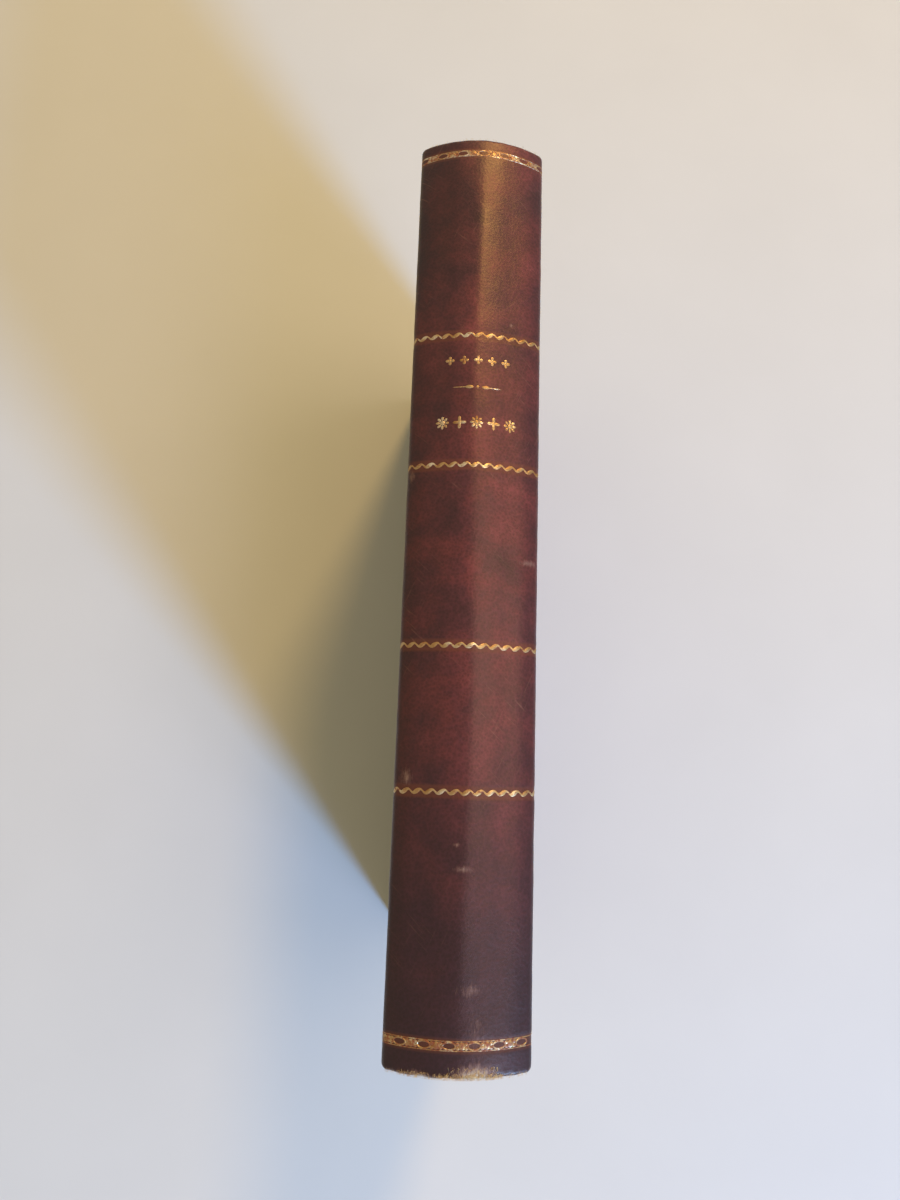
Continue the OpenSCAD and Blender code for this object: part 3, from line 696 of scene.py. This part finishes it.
def chainTree():
    # Oval links with dark eyes, solid rosette blocks between them, and a fine line along each side
    tree, add, given = newTree("chainRoll", "HalfLength", "Pitch", "Height", "Depth", "Shift")
    cell = np.array((gilding["chainPitch"], gilding["chainHeight"]))
    oval, solid, corner = ((cell * gilding[part]).tolist() for part in ("oval", "block", "corners"))
    ring = add("CurvePrimitiveCircle", Resolution=20, Radius=mm)
    ring = add("Transform", ring, Scale=(*oval, 1.0))
    profile = strokeProfile(add, 0.5, 6)
    link = add("CurveToMesh", ring, {"Profile Curve": profile}, Scale=gilding["ovalLine"] * mm)
    block = [bead(add, (*solid, gilding["dome"]), 12, 6)]
    for across, up in ((1, 1), (1, -1), (-1, 1), (-1, -1)):
        place = (across * corner[0] * mm, up * corner[1] * mm, 0)
        block.append(add("Transform", bead(add, gilding["cornerBead"]), Translation=place))
    block = add("JoinGeometry", block)
    parts = []
    for part, count, first in ((link, 7, -3), (block, 6, -2.5)):
        start = add("Math", given["Pitch"], first, given["Shift"], operation="MULTIPLY_ADD")
        parts.append(placedOn(add, along(add, count, given["Pitch"], start), part, given["Depth"]))
    for side in (-1, 1):
        y = add("Math", given["Height"], side * gilding["sideLines"], operation="MULTIPLY")
        fine = levelLine(add, given["HalfLength"], 1.0, 90, Y=y, Z=given["Depth"])
        profile = strokeProfile(add, 0.6, 6)
        parts.append(add("CurveToMesh", fine, {"Fill Caps": True, "Profile Curve": profile},
                         Scale=gilding["sideLine"] * mm))
    whole = add("JoinGeometry", parts)
    return finishTree(tree, add, given, whole)


def flowerParts(add, count, radius, long, broad, eye, segments):
    # Petals round an eye, each one a flattened bead pointing outwards
    parts = []
    for k in range(count):
        angle = 2 * math.pi * k / count
        centre = (radius * math.cos(angle) * mm, radius * math.sin(angle) * mm, 0)
        petal = bead(add, (long, broad, gilding["dome"]), 6)
        parts.append(add("Transform", petal, Translation=centre, Rotation=Euler((0, 0, angle))))
    return parts + [bead(add, (eye, eye, gilding["eyeDome"]), segments, segments // 2)]


def ornamentTree(name, motifs):
    # Motifs alternate along the row: the first place, the count and the step of each, in pitches
    tree, add, given = newTree(name, "Pitch", "Depth")
    made = [flowerParts(add, *gilding[motif]) for motif in motifs]
    rows = []
    for (first, count, step), parts in zip(motifs.values(), made):
        start = add("Math", given["Pitch"], float(first), operation="MULTIPLY")
        pitch = add("Math", given["Pitch"], float(step), operation="MULTIPLY")
        motif = add("JoinGeometry", parts)
        rows.append(placedOn(add, along(add, count, pitch, start), motif, given["Depth"]))
    whole = add("JoinGeometry", rows)
    return finishTree(tree, add, given, whole)


def ruleTree():
    # A rule that tapers outwards in two leaves from a small lozenge
    tree, add, given = newTree("ornamentalRule", "Depth")
    reach = gilding["ruleLength"] / 2
    parts = [bead(add, (0.4, 0.4, 0.09), 4)]
    for side in (-1, 1):
        for long, at, broad, high in gilding["ruleLeaves"]:
            leaf = bead(add, (reach * long, broad, high), 10, 6)
            parts.append(add("Transform", leaf, Translation=(side * reach * at * mm, 0, 0)))
    lowered = add("CombineXYZ", Z=given["Depth"])
    rule = add("SetPosition", add("JoinGeometry", parts), Offset=lowered)
    return finishTree(tree, add, given, rule)


wave, chain = waveTree(), chainTree()
# Piece, tree, row, CAD node, gold, pitch, height and shift
goldRows = [("waveRoll%d" % number, wave, "wave%d" % number, "wave_roll_%d" % number, goldLeaf,
             gilding["wavePitch"], gilding["waveHeight"], 0.0) for number in range(1, 5)] + [
    ("headChainRoll", chain, "headChain", "head_chain_roll", rubbedLeaf, gilding["chainPitch"],
     gilding["headChainHeight"], 0.0),
    ("tailChainRoll", chain, "tailChain", "tail_chain_roll", rubbedLeaf, gilding["chainPitch"],
     gilding["chainHeight"], gilding["tailChainShift"]),
    ("smallOrnaments", ornamentTree("smallRow", {"smallFlower": (-2, 5, 1)}), "small",
     "small_ornaments", goldLeaf, gilding["smallPitch"], 0.0, 0.0),
    ("ornamentalRule", ruleTree(), "rule", "ornamental_rule", goldLeaf, 0.0, 0.0, 0.0),
    ("largeOrnaments", ornamentTree("largeRow", {"flower": (-2, 3, 2), "star": (-1, 2, 2)}), "large",
     "large_ornaments", goldLeaf, gilding["largePitch"], 0.0, 0.0),
]
for number, (name, tree, row, node, leaf, pitch, height, shift) in enumerate(goldRows, 1):
    growPiece(name, tree, "gold", [node], leaf, tooling[row][0], {
        "HalfLength": gilding["tooledHalf"], "Depth": gilding["goldTop"] - gilding["pressed"], "Pitch": pitch,
        "Height": height, "Shift": shift, "Line": gilding["waveLine"]},
        tilt=tooling[row][1], Swing=gilding["swing"], Seed=number)
print("gold tooling made")

fraying = {
    "length": 0.8, "thickness": 0.042, "lift": 0.04, "stop": 94.97,
    # Patches: middle and half width along the path, height and width of the strip, fibres in a square mm
    "patches": [(2.6, 5.6, -94.35, 0.9, 26.0), (2.6, 4.6, -93.6, 1.6, 9.0), (0.0, 13.6, -94.5, 0.6, 11.0),
                (-6.6, 4.0, -94.3, 0.9, 14.0), (0.0, 13.0, 94.55, 0.5, 3.0)],
}


def frayTree():
    # Curled hairs of corium scattered over a strip, each a tapering three-sided stem
    tree, add, given = newTree("frayedFibres", "Width", "Reach", "Middle", "Density", Seed="Int",
                               Away="Float", Stop="Float")
    strip = add("MeshGrid", {"Vertices X": 2, "Vertices Y": 2, "Size X": given["Width"],
                             "Size Y": given["Reach"]})
    shift = add("CombineXYZ", Z=-fraying["lift"] * mm, X=given["Middle"])
    strip = add("Transform", strip, Translation=shift)
    roots = add("DistributePointsOnFaces", strip, Density=given["Density"], Seed=given["Seed"])
    long = fraying["length"] * mm
    bends = {"Start Handle": (0, 0.35 * long, 0.03 * long),
             "End Handle": (0.12 * long, 0.55 * long, 0.07 * long)}
    stem = add("CurvePrimitiveBezierSegment", bends, Resolution=5, Start=(0, 0, 0),
               End=(0.26 * long, long, -0.02 * long))
    ring = add("CurvePrimitiveCircle", Resolution=3, Radius=1.0)
    progress = add("SplineParameter")
    thin = add("MapRange", progress, 0.0, 1.0, fraying["thickness"] * mm, fraying["thickness"] * 0.25 * mm)
    hair = add("CurveToMesh", stem, {"Fill Caps": True, "Profile Curve": ring}, Scale=thin)
    turn = add("RandomValue", {0: (-0.2, -0.3, -1.0), 1: (0.15, 0.3, 1.0), "Seed": given["Seed"]},
               data_type="FLOAT_VECTOR")
    aim = add("CombineXYZ", Z=given["Away"])
    turn = add("VectorMath", turn, aim, operation="ADD")
    size = add("RandomValue", {2: 0.45, 3: 1.0, "Seed": given["Seed"]}, data_type="FLOAT")
    hairs = add("InstanceOnPoints", roots, Instance=hair, Rotation=turn, Scale=size)
    # Matted tips end level with the head or the tail
    hairs = add("RealizeInstances", hairs)
    apart = add("SeparateXYZ", add("InputPosition")).outputs
    height = add("Math", apart["Y"], given["Row"], operation="ADD")
    low = add("Math", given["Stop"], -1.0, operation="MULTIPLY")
    height = add("Clamp", height, Min=low, Max=given["Stop"])
    height = add("Math", height, given["Row"], operation="SUBTRACT")
    depth = add("Math", apart["Z"], 0.0, operation="MINIMUM")
    place = add("CombineXYZ", X=apart["X"], Y=height, Z=depth)
    hairs = add("SetPosition", hairs, Position=place)
    return finishTree(tree, add, given, hairs)


fibreFelt = fibrous("rubbedSkinFibre", ("#a88961", "#c4a77c", "#dcc8a0"), 1.0, 0.2, 0.9, 0.01)
fray = frayTree()
for number, (middle, half, height, reach, density) in enumerate(fraying["patches"]):
    growPiece("frayedFibres%d" % (number + 1), fray, "leather", [], fibreFelt, height,
              {"Width": 2 * half, "Reach": reach, "Middle": middle, "Stop": fraying["stop"]},
              Density=density / mm ** 2, Seed=40 + number, Away=math.pi if height < 0 else 0.0)
print("frayed fibres made")

cover = {
    "half": 95.0, "top": 125.0, "face": 13.7, "inside": 10.4, "edge": 0.8, "pared": 0.3, "skin": 0.8,
    "corner": 1.6, "turnIn": 15.0, "finest": 0.16, "coarsest": 1.9, "growth": 1.28, "unevenness": 0.06,
}


def graded(low, high, bothEnds):
    # Steps that start fine at an edge and grow towards the middle
    steps, step = [0.0], cover["finest"]
    limit = (high - low) / 2 if bothEnds else high - low
    while steps[-1] < limit:
        steps.append(steps[-1] + step)
        step = min(step * cover["growth"], cover["coarsest"])
    half = np.array(steps) * limit / steps[-1]
    if bothEnds:
        return np.concatenate([low + half, (high - half[::-1])[1:]])
    return low + half


def insetPlan(y, z, fromInset, inset, radius):
    # Moves plan points from one inset rectangle to another and rounds its two fore corners
    half, top = cover["half"], cover["top"]
    y = y * (half - inset) / (half - fromInset)
    z = top - (top - z) * (top - inset) / (top - fromInset)
    if radius > 0.01:
        a = np.clip((np.abs(y) - (half - inset - radius)) / radius, 0, 1)
        b = np.clip((inset + radius - z) / radius, 0, 1)
        y = np.sign(y) * (np.abs(y) + radius * a * (np.sqrt(1 - b * b / 2) - 1))
        z = z + radius * b * (1 - np.sqrt(1 - a * a / 2))
    return y, z


def coverSkin(profile, heights, levels, inset):
    # The board's face and, from its edge, a band round three sides to the turned-in margin
    y, z = np.meshgrid(heights, levels, indexing="ij")
    y, z = y.ravel(), z.ravel()
    faceY, faceZ = insetPlan(y, z, inset, profile[0][0], max(cover["corner"] - profile[0][0], 0))
    points = [np.stack([np.full(len(y), profile[0][1]), faceY, faceZ], -1)]
    rows, columns = len(heights), len(levels)
    border = [*range(columns - 1, 0, -1), *range(0, rows * columns, columns),
              *range((rows - 1) * columns + 1, rows * columns)]
    faces = gridFaces(rows, columns)
    previous, count = border, rows * columns
    for t, x in profile[1:]:
        ringY, ringZ = insetPlan(y[border], z[border], inset, t, max(cover["corner"] - t, 0))
        points.append(np.stack([np.full(len(border), x), ringY, ringZ], -1))
        here = list(range(count, count + len(border)))
        faces += [[previous[k], here[k], here[k + 1], previous[k + 1]] for k in range(len(border) - 1)]
        previous, count = here, count + len(border)
    return np.vstack(points), faces


def coverProfiles():
    # Round the board's edge from its face to the turned-in margin: [inset, x] of the skin's two sides
    edge, pared, face, inside = cover["edge"], cover["pared"], cover["face"], cover["inside"]
    outer = [(edge, face)]
    outer += [(edge * (1 - math.sin(a)), face - edge * (1 - math.cos(a)))
              for a in np.linspace(0, math.pi / 2, 7)[1:]]
    outer += [(0.0, x) for x in np.linspace(face - edge, inside + pared, 5)[1:]]
    outer += [(pared * (1 - math.cos(a)), inside + pared * (1 - math.sin(a)))
              for a in np.linspace(0, math.pi / 2, 4)[1:]]
    margin = (1.6, 3.0, 5.5, 9.0, 12.0, 14.3)
    outer += [(t, inside) for t in (0.8, *margin, cover["turnIn"])]
    skin, small = cover["skin"], 0.04
    inner = [(skin + small, face - skin)]
    inner += [(skin + small * (1 - t), face - skin - small * t) for t in np.linspace(0, 1, 7)[1:]]
    inner += [(skin, x) for x in np.linspace(face - skin - small, inside + pared + small, 5)[1:]]
    inner += [(skin + small * t, inside + pared + small * (1 - t)) for t in np.linspace(0, 1, 4)[1:]]
    inner += [(t + 0.06, inside + pared) for t in (0.9, *margin)]
    inner += [(cover["turnIn"], inside + pared)]
    return outer, inner


def makeCoverLeather(label, side, seed):
    half, edge = cover["half"], cover["edge"]
    heights, levels = graded(edge - half, half - edge, True), graded(edge, cover["top"], False)
    skins = [coverSkin(profile, heights, levels, edge) for profile in coverProfiles()]
    (outer, faces), (inner, faces) = skins
    normals = skinNormals(outer, faces)
    if normals[len(heights) * len(levels) // 2, 0] < 0:
        normals = -normals
    sink = cover["unevenness"] * (0.5 + 0.5 * swell(outer, 18.0, seed))
    sink += 0.02 * (1 + swell(outer, 5.0, seed + 1))
    corner = ease(np.abs(outer[:, 1]), 91.0, 95.0) * ease(-outer[:, 2], -5.0, 0.0)
    sink += corner * np.clip(0.12 + 0.1 * swell(outer, 2.4, seed + 2), 0, 0.25)
    sink[outer[:, 0] < cover["inside"] + 0.25] *= 0.25
    outer = outer - normals * np.maximum(sink, 0.0)[:, None]
    piece = makePiece(label + "CoverLeather", thicken(outer, inner, faces), coverCalf, smooth=50, side=side)
    enrol(piece, label + "_cover", [label + "_leather"])


makeCoverLeather("front", 1, 21)
makeCoverLeather("back", -1, 31)
print("covers made")

jointStrip = {
    # Path in x and z, half length and thickness of each strip
    "Leather": (
        [(13.36, 126.1), (13.34, 125.45), (13.3, 125.15), (13.34, 124.85), (13.36, 124.2)], 94.5, 0.34),
    "Paper": (
        [(12.82, 125.37), (12.95, 125.25), (13.0, 125.15), (12.95, 125.05), (12.82, 124.93)], 91.95, 0.12),
    # Samples gather where the strip bends about the hinge
    "levels": [(125.8, 125.34, 4), (125.32, 124.98, 19), (124.96, 124.5, 4)],
    "rows": 60, "unevenness": 0.02, "blendX": 13.9, "blendTop": 125.33, "blendBottom": 124.97,
}


def makeJoint(label, side, sheet, material):
    path, half, thick = jointStrip[sheet]
    knots = np.array(path)
    fine = np.concatenate([np.linspace(*run) for run in jointStrip["levels"]])
    fine = fine[(fine < knots[0, 1]) & (fine > knots[-1, 1])]
    levels = np.concatenate([[knots[0, 1]], fine, [knots[-1, 1]]])
    order = np.argsort(knots[:, 1])
    x = np.interp(levels, knots[order, 1], knots[order, 0])
    heights = np.linspace(-half, half, jointStrip["rows"])
    outer = np.array([(across, y, z) for across, z in zip(x, levels) for y in heights])
    outer[:, 0] += thick / 2 + jointStrip["unevenness"] * swell(outer, 6.0, 41)
    inner = outer - np.array([thick, 0, 0])
    solid = thicken(outer, inner, gridFaces(len(levels), len(heights)))
    piece = makePiece(label + "Joint" + sheet, solid, material, smooth=60, side=side)
    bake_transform(piece)
    return piece


for label, side in (("front", 1), ("back", -1)):
    makeJoint(label, side, "Leather", coverCalf)
    makeJoint(label, side, "Paper", endpaper)
print("joints made")

leaves = {
    "halfBlock": 9.9, "halfLength": 92.0, "leafCount": 192, "sections": 16, "foreZ": 3.0, "hollow": 4.0,
    "shoulderZ": 125.42, "backRadius": 21.435, "shoulderAngle": 34.69, "endJitter": 0.06, "foreJitter": 0.05,
    "sectionMark": 0.22, "bend": 0.72, "cordAt": (-64.0, -21.333, 21.333, 64.0), "cordDepth": 1.22,
    # Half widths of a cord's kerf: its floor, its wall and its rim
    "kerf": (0.6, 0.65, 0.72),
}


def leafPath(u, t):
    # Where a leaf lies: u from -1 at the back board to 1 at the front, t from fore edge to fold
    half, hollow = leaves["halfBlock"], leaves["hollow"]
    foreRadius = (half * half + hollow * hollow) / (2 * hollow)
    x0 = half * u
    z0 = leaves["foreZ"] + hollow - foreRadius + np.sqrt(foreRadius ** 2 - x0 ** 2)
    z1 = leaves["shoulderZ"] - 5.0 * (1 - np.abs(u))
    angle = math.radians(leaves["shoulderAngle"]) * u
    out = np.stack([np.sin(angle), np.cos(angle)], -1)
    end = np.stack([0 * u, 0 * u + back["arcZ"]], -1) + out * leaves["backRadius"]
    start = np.stack([x0, z1], -1)
    reach = np.linalg.norm(end - start, axis=-1, keepdims=True)
    c1 = start + np.stack([0 * u, 0.5 * (end[..., 1] - start[..., 1])], -1)
    c2 = end - out * 0.3 * reach
    k = np.clip((t - leaves["bend"]) / (1 - leaves["bend"]), 0, 1)[..., None]
    curve = start * (1 - k) ** 3 + 3 * c1 * k * (1 - k) ** 2 + 3 * c2 * k * k * (1 - k) + end * k ** 3
    straight = np.stack([x0, z0 + (z1 - z0) * np.clip(t / leaves["bend"], 0, 1)], -1)
    return np.where((t < leaves["bend"])[..., None], straight, curve), out


def makeTextBlock():
    draw = np.random.default_rng(7)
    count = leaves["leafCount"]
    edges = np.linspace(-1, 1, count + 1)
    gap = 0.06 * 2 / count
    u = np.stack([edges[:-1] + gap, edges[1:] - gap], -1).ravel()
    u[0], u[-1] = -1.0, 1.0
    leafOf = np.repeat(np.arange(count), 2)
    headIn, tailIn, foreIn = (np.abs(draw.normal(0, s, count))[leafOf] for s in (
        leaves["endJitter"], leaves["endJitter"], leaves["foreJitter"]))
    perSection = count // leaves["sections"]
    opens, closes = leafOf % perSection == 0, leafOf % perSection == perSection - 1
    sectionEdge = np.where(opens | closes, leaves["sectionMark"] * 0.6, 0.0)
    straight, bent = np.linspace(0.04, 0.68, 9), np.linspace(0.75, 1, 9)
    tEnds = np.concatenate([[0, 0.004, 0.012], straight, [leaves["bend"]], bent])
    kerfFloor, kerfWall, kerfRim = leaves["kerf"]
    kerfs = [c + off for c in leaves["cordAt"] for off in (-kerfRim, -kerfFloor, kerfFloor, kerfRim)]
    reach = leaves["halfLength"] - 0.4
    ySpan = np.array(sorted(set(np.linspace(-reach, reach, 34).round(3)) | set(np.round(kerfs, 3))))
    yParts = ySpan / leaves["halfLength"]
    loop = [(t, -1.0) for t in tEnds[::-1]] + [(0.0, y) for y in yParts] + [(t, 1.0) for t in tEnds] + [
        (1.0, y) for y in yParts[::-1]]
    loopT, loopY = np.array([p[0] for p in loop]), np.array([p[1] for p in loop])
    uGrid, tGrid = np.meshgrid(u, loopT, indexing="ij")
    yGrid = np.broadcast_to(loopY * leaves["halfLength"], uGrid.shape).copy()
    plan, out = leafPath(uGrid, tGrid)
    # Leaves stop a little short of each other at the three trimmed edges
    yGrid += np.where(loopY[None, :] >= 1, -1, 0) * (headIn + sectionEdge * 0.5)[:, None]
    yGrid += np.where(loopY[None, :] <= -1, 1, 0) * (tailIn + sectionEdge * 0.5)[:, None]
    plan[..., 1] += foreIn[:, None] * np.clip(1 - tGrid / 0.01, 0, 1)
    # Folded backs of the sections: round, with a valley between two of them and a kerf at each cord
    across = (u + 1) / 2 * leaves["sections"] % 1.0
    valley = 0.45 * np.abs(2 * across - 1) ** 3
    atBack = np.clip((tGrid - 0.97) / 0.03, 0, 1)
    plan -= out * (valley[:, None] * atBack)[..., None]
    inKerf = np.zeros_like(yGrid)
    for c in leaves["cordAt"]:
        inKerf = np.maximum(inKerf, (np.abs(yGrid - c) < kerfWall).astype(float))
    inKerf *= (tGrid >= 1.0) & (np.abs(loopY)[None, :] < 1)
    plan -= out * (inKerf * leaves["cordDepth"])[..., None]
    points = np.stack([plan[..., 0], yGrid, plan[..., 1]], -1)
    rows, columns = points.shape[:2]
    faces = gridFaces(rows, columns, True)
    last, spans = len(tEnds) - 1, len(ySpan)
    # The two outermost leaves, whose sides close the block
    for start, way in ((0, 1), ((rows - 1) * columns, -1)):
        leaf = list(range(start, start + columns))
        tail, head = leaf[:last + 1][::-1], leaf[last + 1 + spans:2 * last + 2 + spans]
        fore, fold = leaf[last + 1:last + 1 + spans], leaf[2 * last + 2 + spans:]
        sheets = [[tail[k + 1], tail[k], head[k], head[k + 1]] for k in range(1, last - 1)]
        sheets += [[tail[1], tail[0], *fore, head[0], head[1]],
                   [tail[last], tail[last - 1], head[last - 1], head[last], *fold]]
        faces += [sheet[::way] for sheet in sheets]
    # Places on the edges in about mm: across the leaves and along them
    uv = np.stack([np.repeat(u * leaves["halfBlock"], columns), np.tile(loopT * 120 + loopY * 90, rows)], -1)
    piece = makePiece("textBlock", (points.reshape(-1, 3), faces), leafEdges, uv, 30)
    enrol(piece, nodes=["text_block"])


makeTextBlock()

papers = {
    "half": 92.0, "thick": 0.15, "foreZ": 3.0, "foldX": 12.87, "step": 2.2, "rows": 96, "cockleSize": 26.0,
    # Each sheet's distance from the middle, height of its fold, depth of its cockles and their seed
    "Flyleaf": (10.02, 125.4, 0.02, 51), "Pastedown": (10.29, 124.9, 0.015, 61),
}


def makePaper(label, side, sheet, body):
    # A sheet of endpaper on an L-shaped path in X and Z, cockled by its paste
    out, top, depth, seed = papers[sheet]
    knots = np.array([(out, papers["foreZ"]), (out, top), (papers["foldX"], top)])
    run = np.concatenate([[0], np.cumsum(np.linalg.norm(np.diff(knots, axis=0), axis=1))])
    spots = np.unique(np.concatenate([np.arange(0, run[-1], papers["step"]), run]).round(4))
    x, z = np.interp(spots, run, knots[:, 0]), np.interp(spots, run, knots[:, 1])
    rows = papers["rows"]
    heights = np.linspace(-papers["half"], papers["half"], rows)
    centre = np.stack([np.repeat(x, rows), np.tile(heights, len(spots)), np.repeat(z, rows)], -1)
    faces = gridFaces(len(spots), rows)
    normals = skinNormals(centre, faces)
    cockle = depth * swell(centre, papers["cockleSize"], seed + side) * ease(122.0 - centre[:, 2], 0.0, 6.0)
    outer, inner = (centre + normals * (cockle + way * papers["thick"] / 2)[:, None] for way in (1, -1))
    piece = makePiece(label + sheet, thicken(outer, inner, faces), endpaper, side=side)
    enrol(piece, body, [label + "_" + sheet.lower()])


for label, side in (("front", 1), ("back", -1)):
    makePaper(label, side, "Flyleaf", "book_block")
    makePaper(label, side, "Pastedown", label + "_cover")
print("leaves and endpapers made")

headbandSizes = {
    "bead": 0.8, "depth": 3.19, "halfAngle": 31.6, "thread": 0.17, "turnPitch": 0.34, "height": 92.84,
    "bandLength": 1.9, "tapeDepth": (2.11, 2.36), "tapeHeights": (83.3, 92.7), "tapeAngle": 31.5,
}


def headbandTree():
    # Silk wound in one helix round a cord core, in red and cream bands
    tree, add, given = newTree("headband", "HalfLength", "Bead", "Depth", "Pitch", "BandLength",
                               SecondMaterial="Material")
    length = add("Math", given["HalfLength"], 2.0, operation="MULTIPLY")
    turns = add("Math", length, given["Pitch"], operation="DIVIDE")
    helix = add("CurveSpiral", {"Start Radius": given["Bead"], "End Radius": given["Bead"]}, Resolution=12,
                Rotations=turns, Height=length)
    lowest = add("Math", given["HalfLength"], -1.0, operation="MULTIPLY")
    startAt = add("CombineXYZ", X=lowest, Z=given["Depth"])
    laid = add("Transform", helix, Rotation=Euler((0, math.pi / 2, 0)), Translation=startAt)
    threadRound = add("CurvePrimitiveCircle", Resolution=6, Radius=1.0)
    thread = add("CurveToMesh", laid, {"Fill Caps": True, "Profile Curve": threadRound},
                 Scale=headbandSizes["thread"] * mm)
    core = levelLine(add, given["HalfLength"], 1.02, 40, Z=given["Depth"])
    coreRound = add("CurvePrimitiveCircle", Resolution=12, Radius=1.0)
    core = add("CurveToMesh", core, {"Fill Caps": True, "Profile Curve": coreRound}, Scale=given["Bead"])
    x = add("SeparateXYZ", add("InputPosition")).outputs["X"]
    band = add("Math", x, given["BandLength"], operation="DIVIDE")
    band = add("Math", band, 1.0, operation="PINGPONG")
    pale = add("Math", band, 0.5, operation="GREATER_THAN")
    both = add("JoinGeometry", [thread, core])
    marked = add("StoreNamedAttribute", both, Name="pale", Value=pale, data_type="BOOLEAN", domain="FACE")
    wrapped = wrapUp(add, given, marked)
    chosen = add("InputNamedAttribute", Name="pale", data_type="BOOLEAN")
    done = add("SetMaterial", wrapped, Selection=chosen, Material=given["SecondMaterial"])
    add("NodeGroupOutput", done)
    return tree


def makeTape(name, side):
    # The cloth tape that the silk is worked on, glued under the lining
    half, (low, high) = headbandSizes["tapeAngle"], headbandSizes["tapeHeights"]
    path = np.radians(np.linspace(-half, half, 60)) * back["arcRadius"]
    heights = side * np.linspace(low, high, 12)
    outer, inner = (onBack(path[:, None], heights, depth).reshape(-1, 3)
                    for depth in headbandSizes["tapeDepth"])
    enrol(makePiece(name, thicken(outer, inner, gridFaces(60, 12)), mullCloth))


bandTree = headbandTree()
for label, side, node in (("headBand", 1, "headband"), ("tailBand", -1, "tailband")):
    growPiece(label, bandTree, "silk", [node], redSilk, side * headbandSizes["height"], {
        "HalfLength": math.radians(headbandSizes["halfAngle"]) * back["arcRadius"],
        "Bead": headbandSizes["bead"] - headbandSizes["thread"], "Depth": -headbandSizes["depth"],
        "Pitch": headbandSizes["turnPitch"], "BandLength": headbandSizes["bandLength"]},
        back["halfLength"], SecondMaterial=creamSilk)
    makeTape(label + "Tape", side)
print("headbands made")

# CAD nodes that keep their shape take their finish here
for node, material in (
        ("sewing_cords", hempCord), ("spine_mull", mullCloth), ("spine_lining", kraftLining),
        ("spine_card", greyCard), ("front_board", millboard), ("back_board", millboard),
        ("front_cord_slips", hempCord), ("back_cord_slips", hempCord)):
    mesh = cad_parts[node].data
    mesh.materials.clear()
    mesh.materials.append(material)

studio = {
    "floorTone": "#cdccca", "aim": (0.0, 0.0, 0.06),
    # Lamps: place in metres, diameter, watts, colour
    "lamps": {
        "warmLamp": ((0.31, 1.0, 1.08), 0.26, 9.2, (1.0, 0.64, 0.21)),
        "window": ((1.08, -1.46, 0.81), 0.32, 53.0, (0.22, 0.50, 1.0)),
        "daylight": ((0.32, 0.05, 0.70), 0.36, 1.05, (1.0, 0.78, 0.62)),
        "skylight": ((0.44, -0.56, 0.78), 0.36, 2.3, (0.62, 0.66, 1.0)),
    },
    "roomColour": (1.0, 0.89, 0.55), "roomStrength": (0.30, 0.56),
    "wallColour": (1.0, 0.97, 0.92), "wallStrength": 0.56,
    # Camera: focal length and film in mm, place in metres and turn in degrees
    "lens": 24.0, "sensor": 36.0, "cameraPlace": (-0.010, -0.03933, 0.28580),
    "cameraTurn": (11.0345, -2.536, 1.8798),
}


def paintedFloor():
    # Matt off-white table top, with the faintest unevenness of tone
    material, add, shader, inMm = newMaterial("mattOffWhiteTop", {"Roughness": 0.8})
    cloud = add("TexNoise", inMm, Scale=0.02, Detail=4.0)
    tone = add("MapRange", cloud, 0.0, 1.0, 0.965, 1.035)
    colour = add("VectorMath", toLinear(studio["floorTone"])[:3], tone, operation="MULTIPLY")
    feed(shader, {"Base Color": colour})
    return material


floorMesh = bpy.data.meshes.new("floor")
floorMesh.from_pydata([(-2, -2, 0), (2, -2, 0), (2, 2, 0), (-2, 2, 0)], [], [(0, 1, 2, 3)])
floorMesh.materials.append(paintedFloor())
linkNew("floor", floorMesh)

for name, (place, size, power, colour) in studio["lamps"].items():
    data = bpy.data.lights.new(name, "AREA")
    data.shape, data.size, data.energy, data.color = "DISK", size, power, colour
    lamp = linkNew(name, data)
    lamp.location = place
    lamp.rotation_euler = (Vector(studio["aim"]) - lamp.location).to_track_quat("-Z", "Y").to_euler()

# The room gives more light from its ceiling than from its walls
world = bpy.data.worlds.new("softRoom")
world.use_nodes = True
room = world.node_tree
addToRoom = partial(addNode, room)
upwards = addToRoom("SeparateXYZ", addToRoom("TexCoord").outputs["Generated"]).outputs["Z"]
strength = addToRoom("MapRange", upwards, 0.0, 1.0, *studio["roomStrength"])
feed(room.nodes["Background"], {"Color": (*studio["roomColour"], 1.0), "Strength": strength})
# A pale wall is what the camera and the sheen see of the room
ray = addToRoom("LightPath").outputs
seen = addToRoom("Math", ray["Is Camera Ray"], ray["Is Glossy Ray"], operation="MAXIMUM")
seen = addToRoom("Math", seen, ray["Is Transmission Ray"], operation="MAXIMUM")
wall = addToRoom("Background", Color=(*studio["wallColour"], 1.0), Strength=studio["wallStrength"])
both = addToRoom("MixShader", seen, room.nodes["Background"], wall)
feed(room.nodes["World Output"], {"Surface": both})
scene.world = world
scene.view_settings.view_transform = "Standard"

cameraData = bpy.data.cameras.new("camera")
cameraData.lens, cameraData.sensor_width = studio["lens"], studio["sensor"]
camera = linkNew("camera", cameraData)
camera.location = studio["cameraPlace"]
camera.rotation_euler = tuple(math.radians(angle) for angle in studio["cameraTurn"])
scene.camera = camera
print("stage, light and camera set")
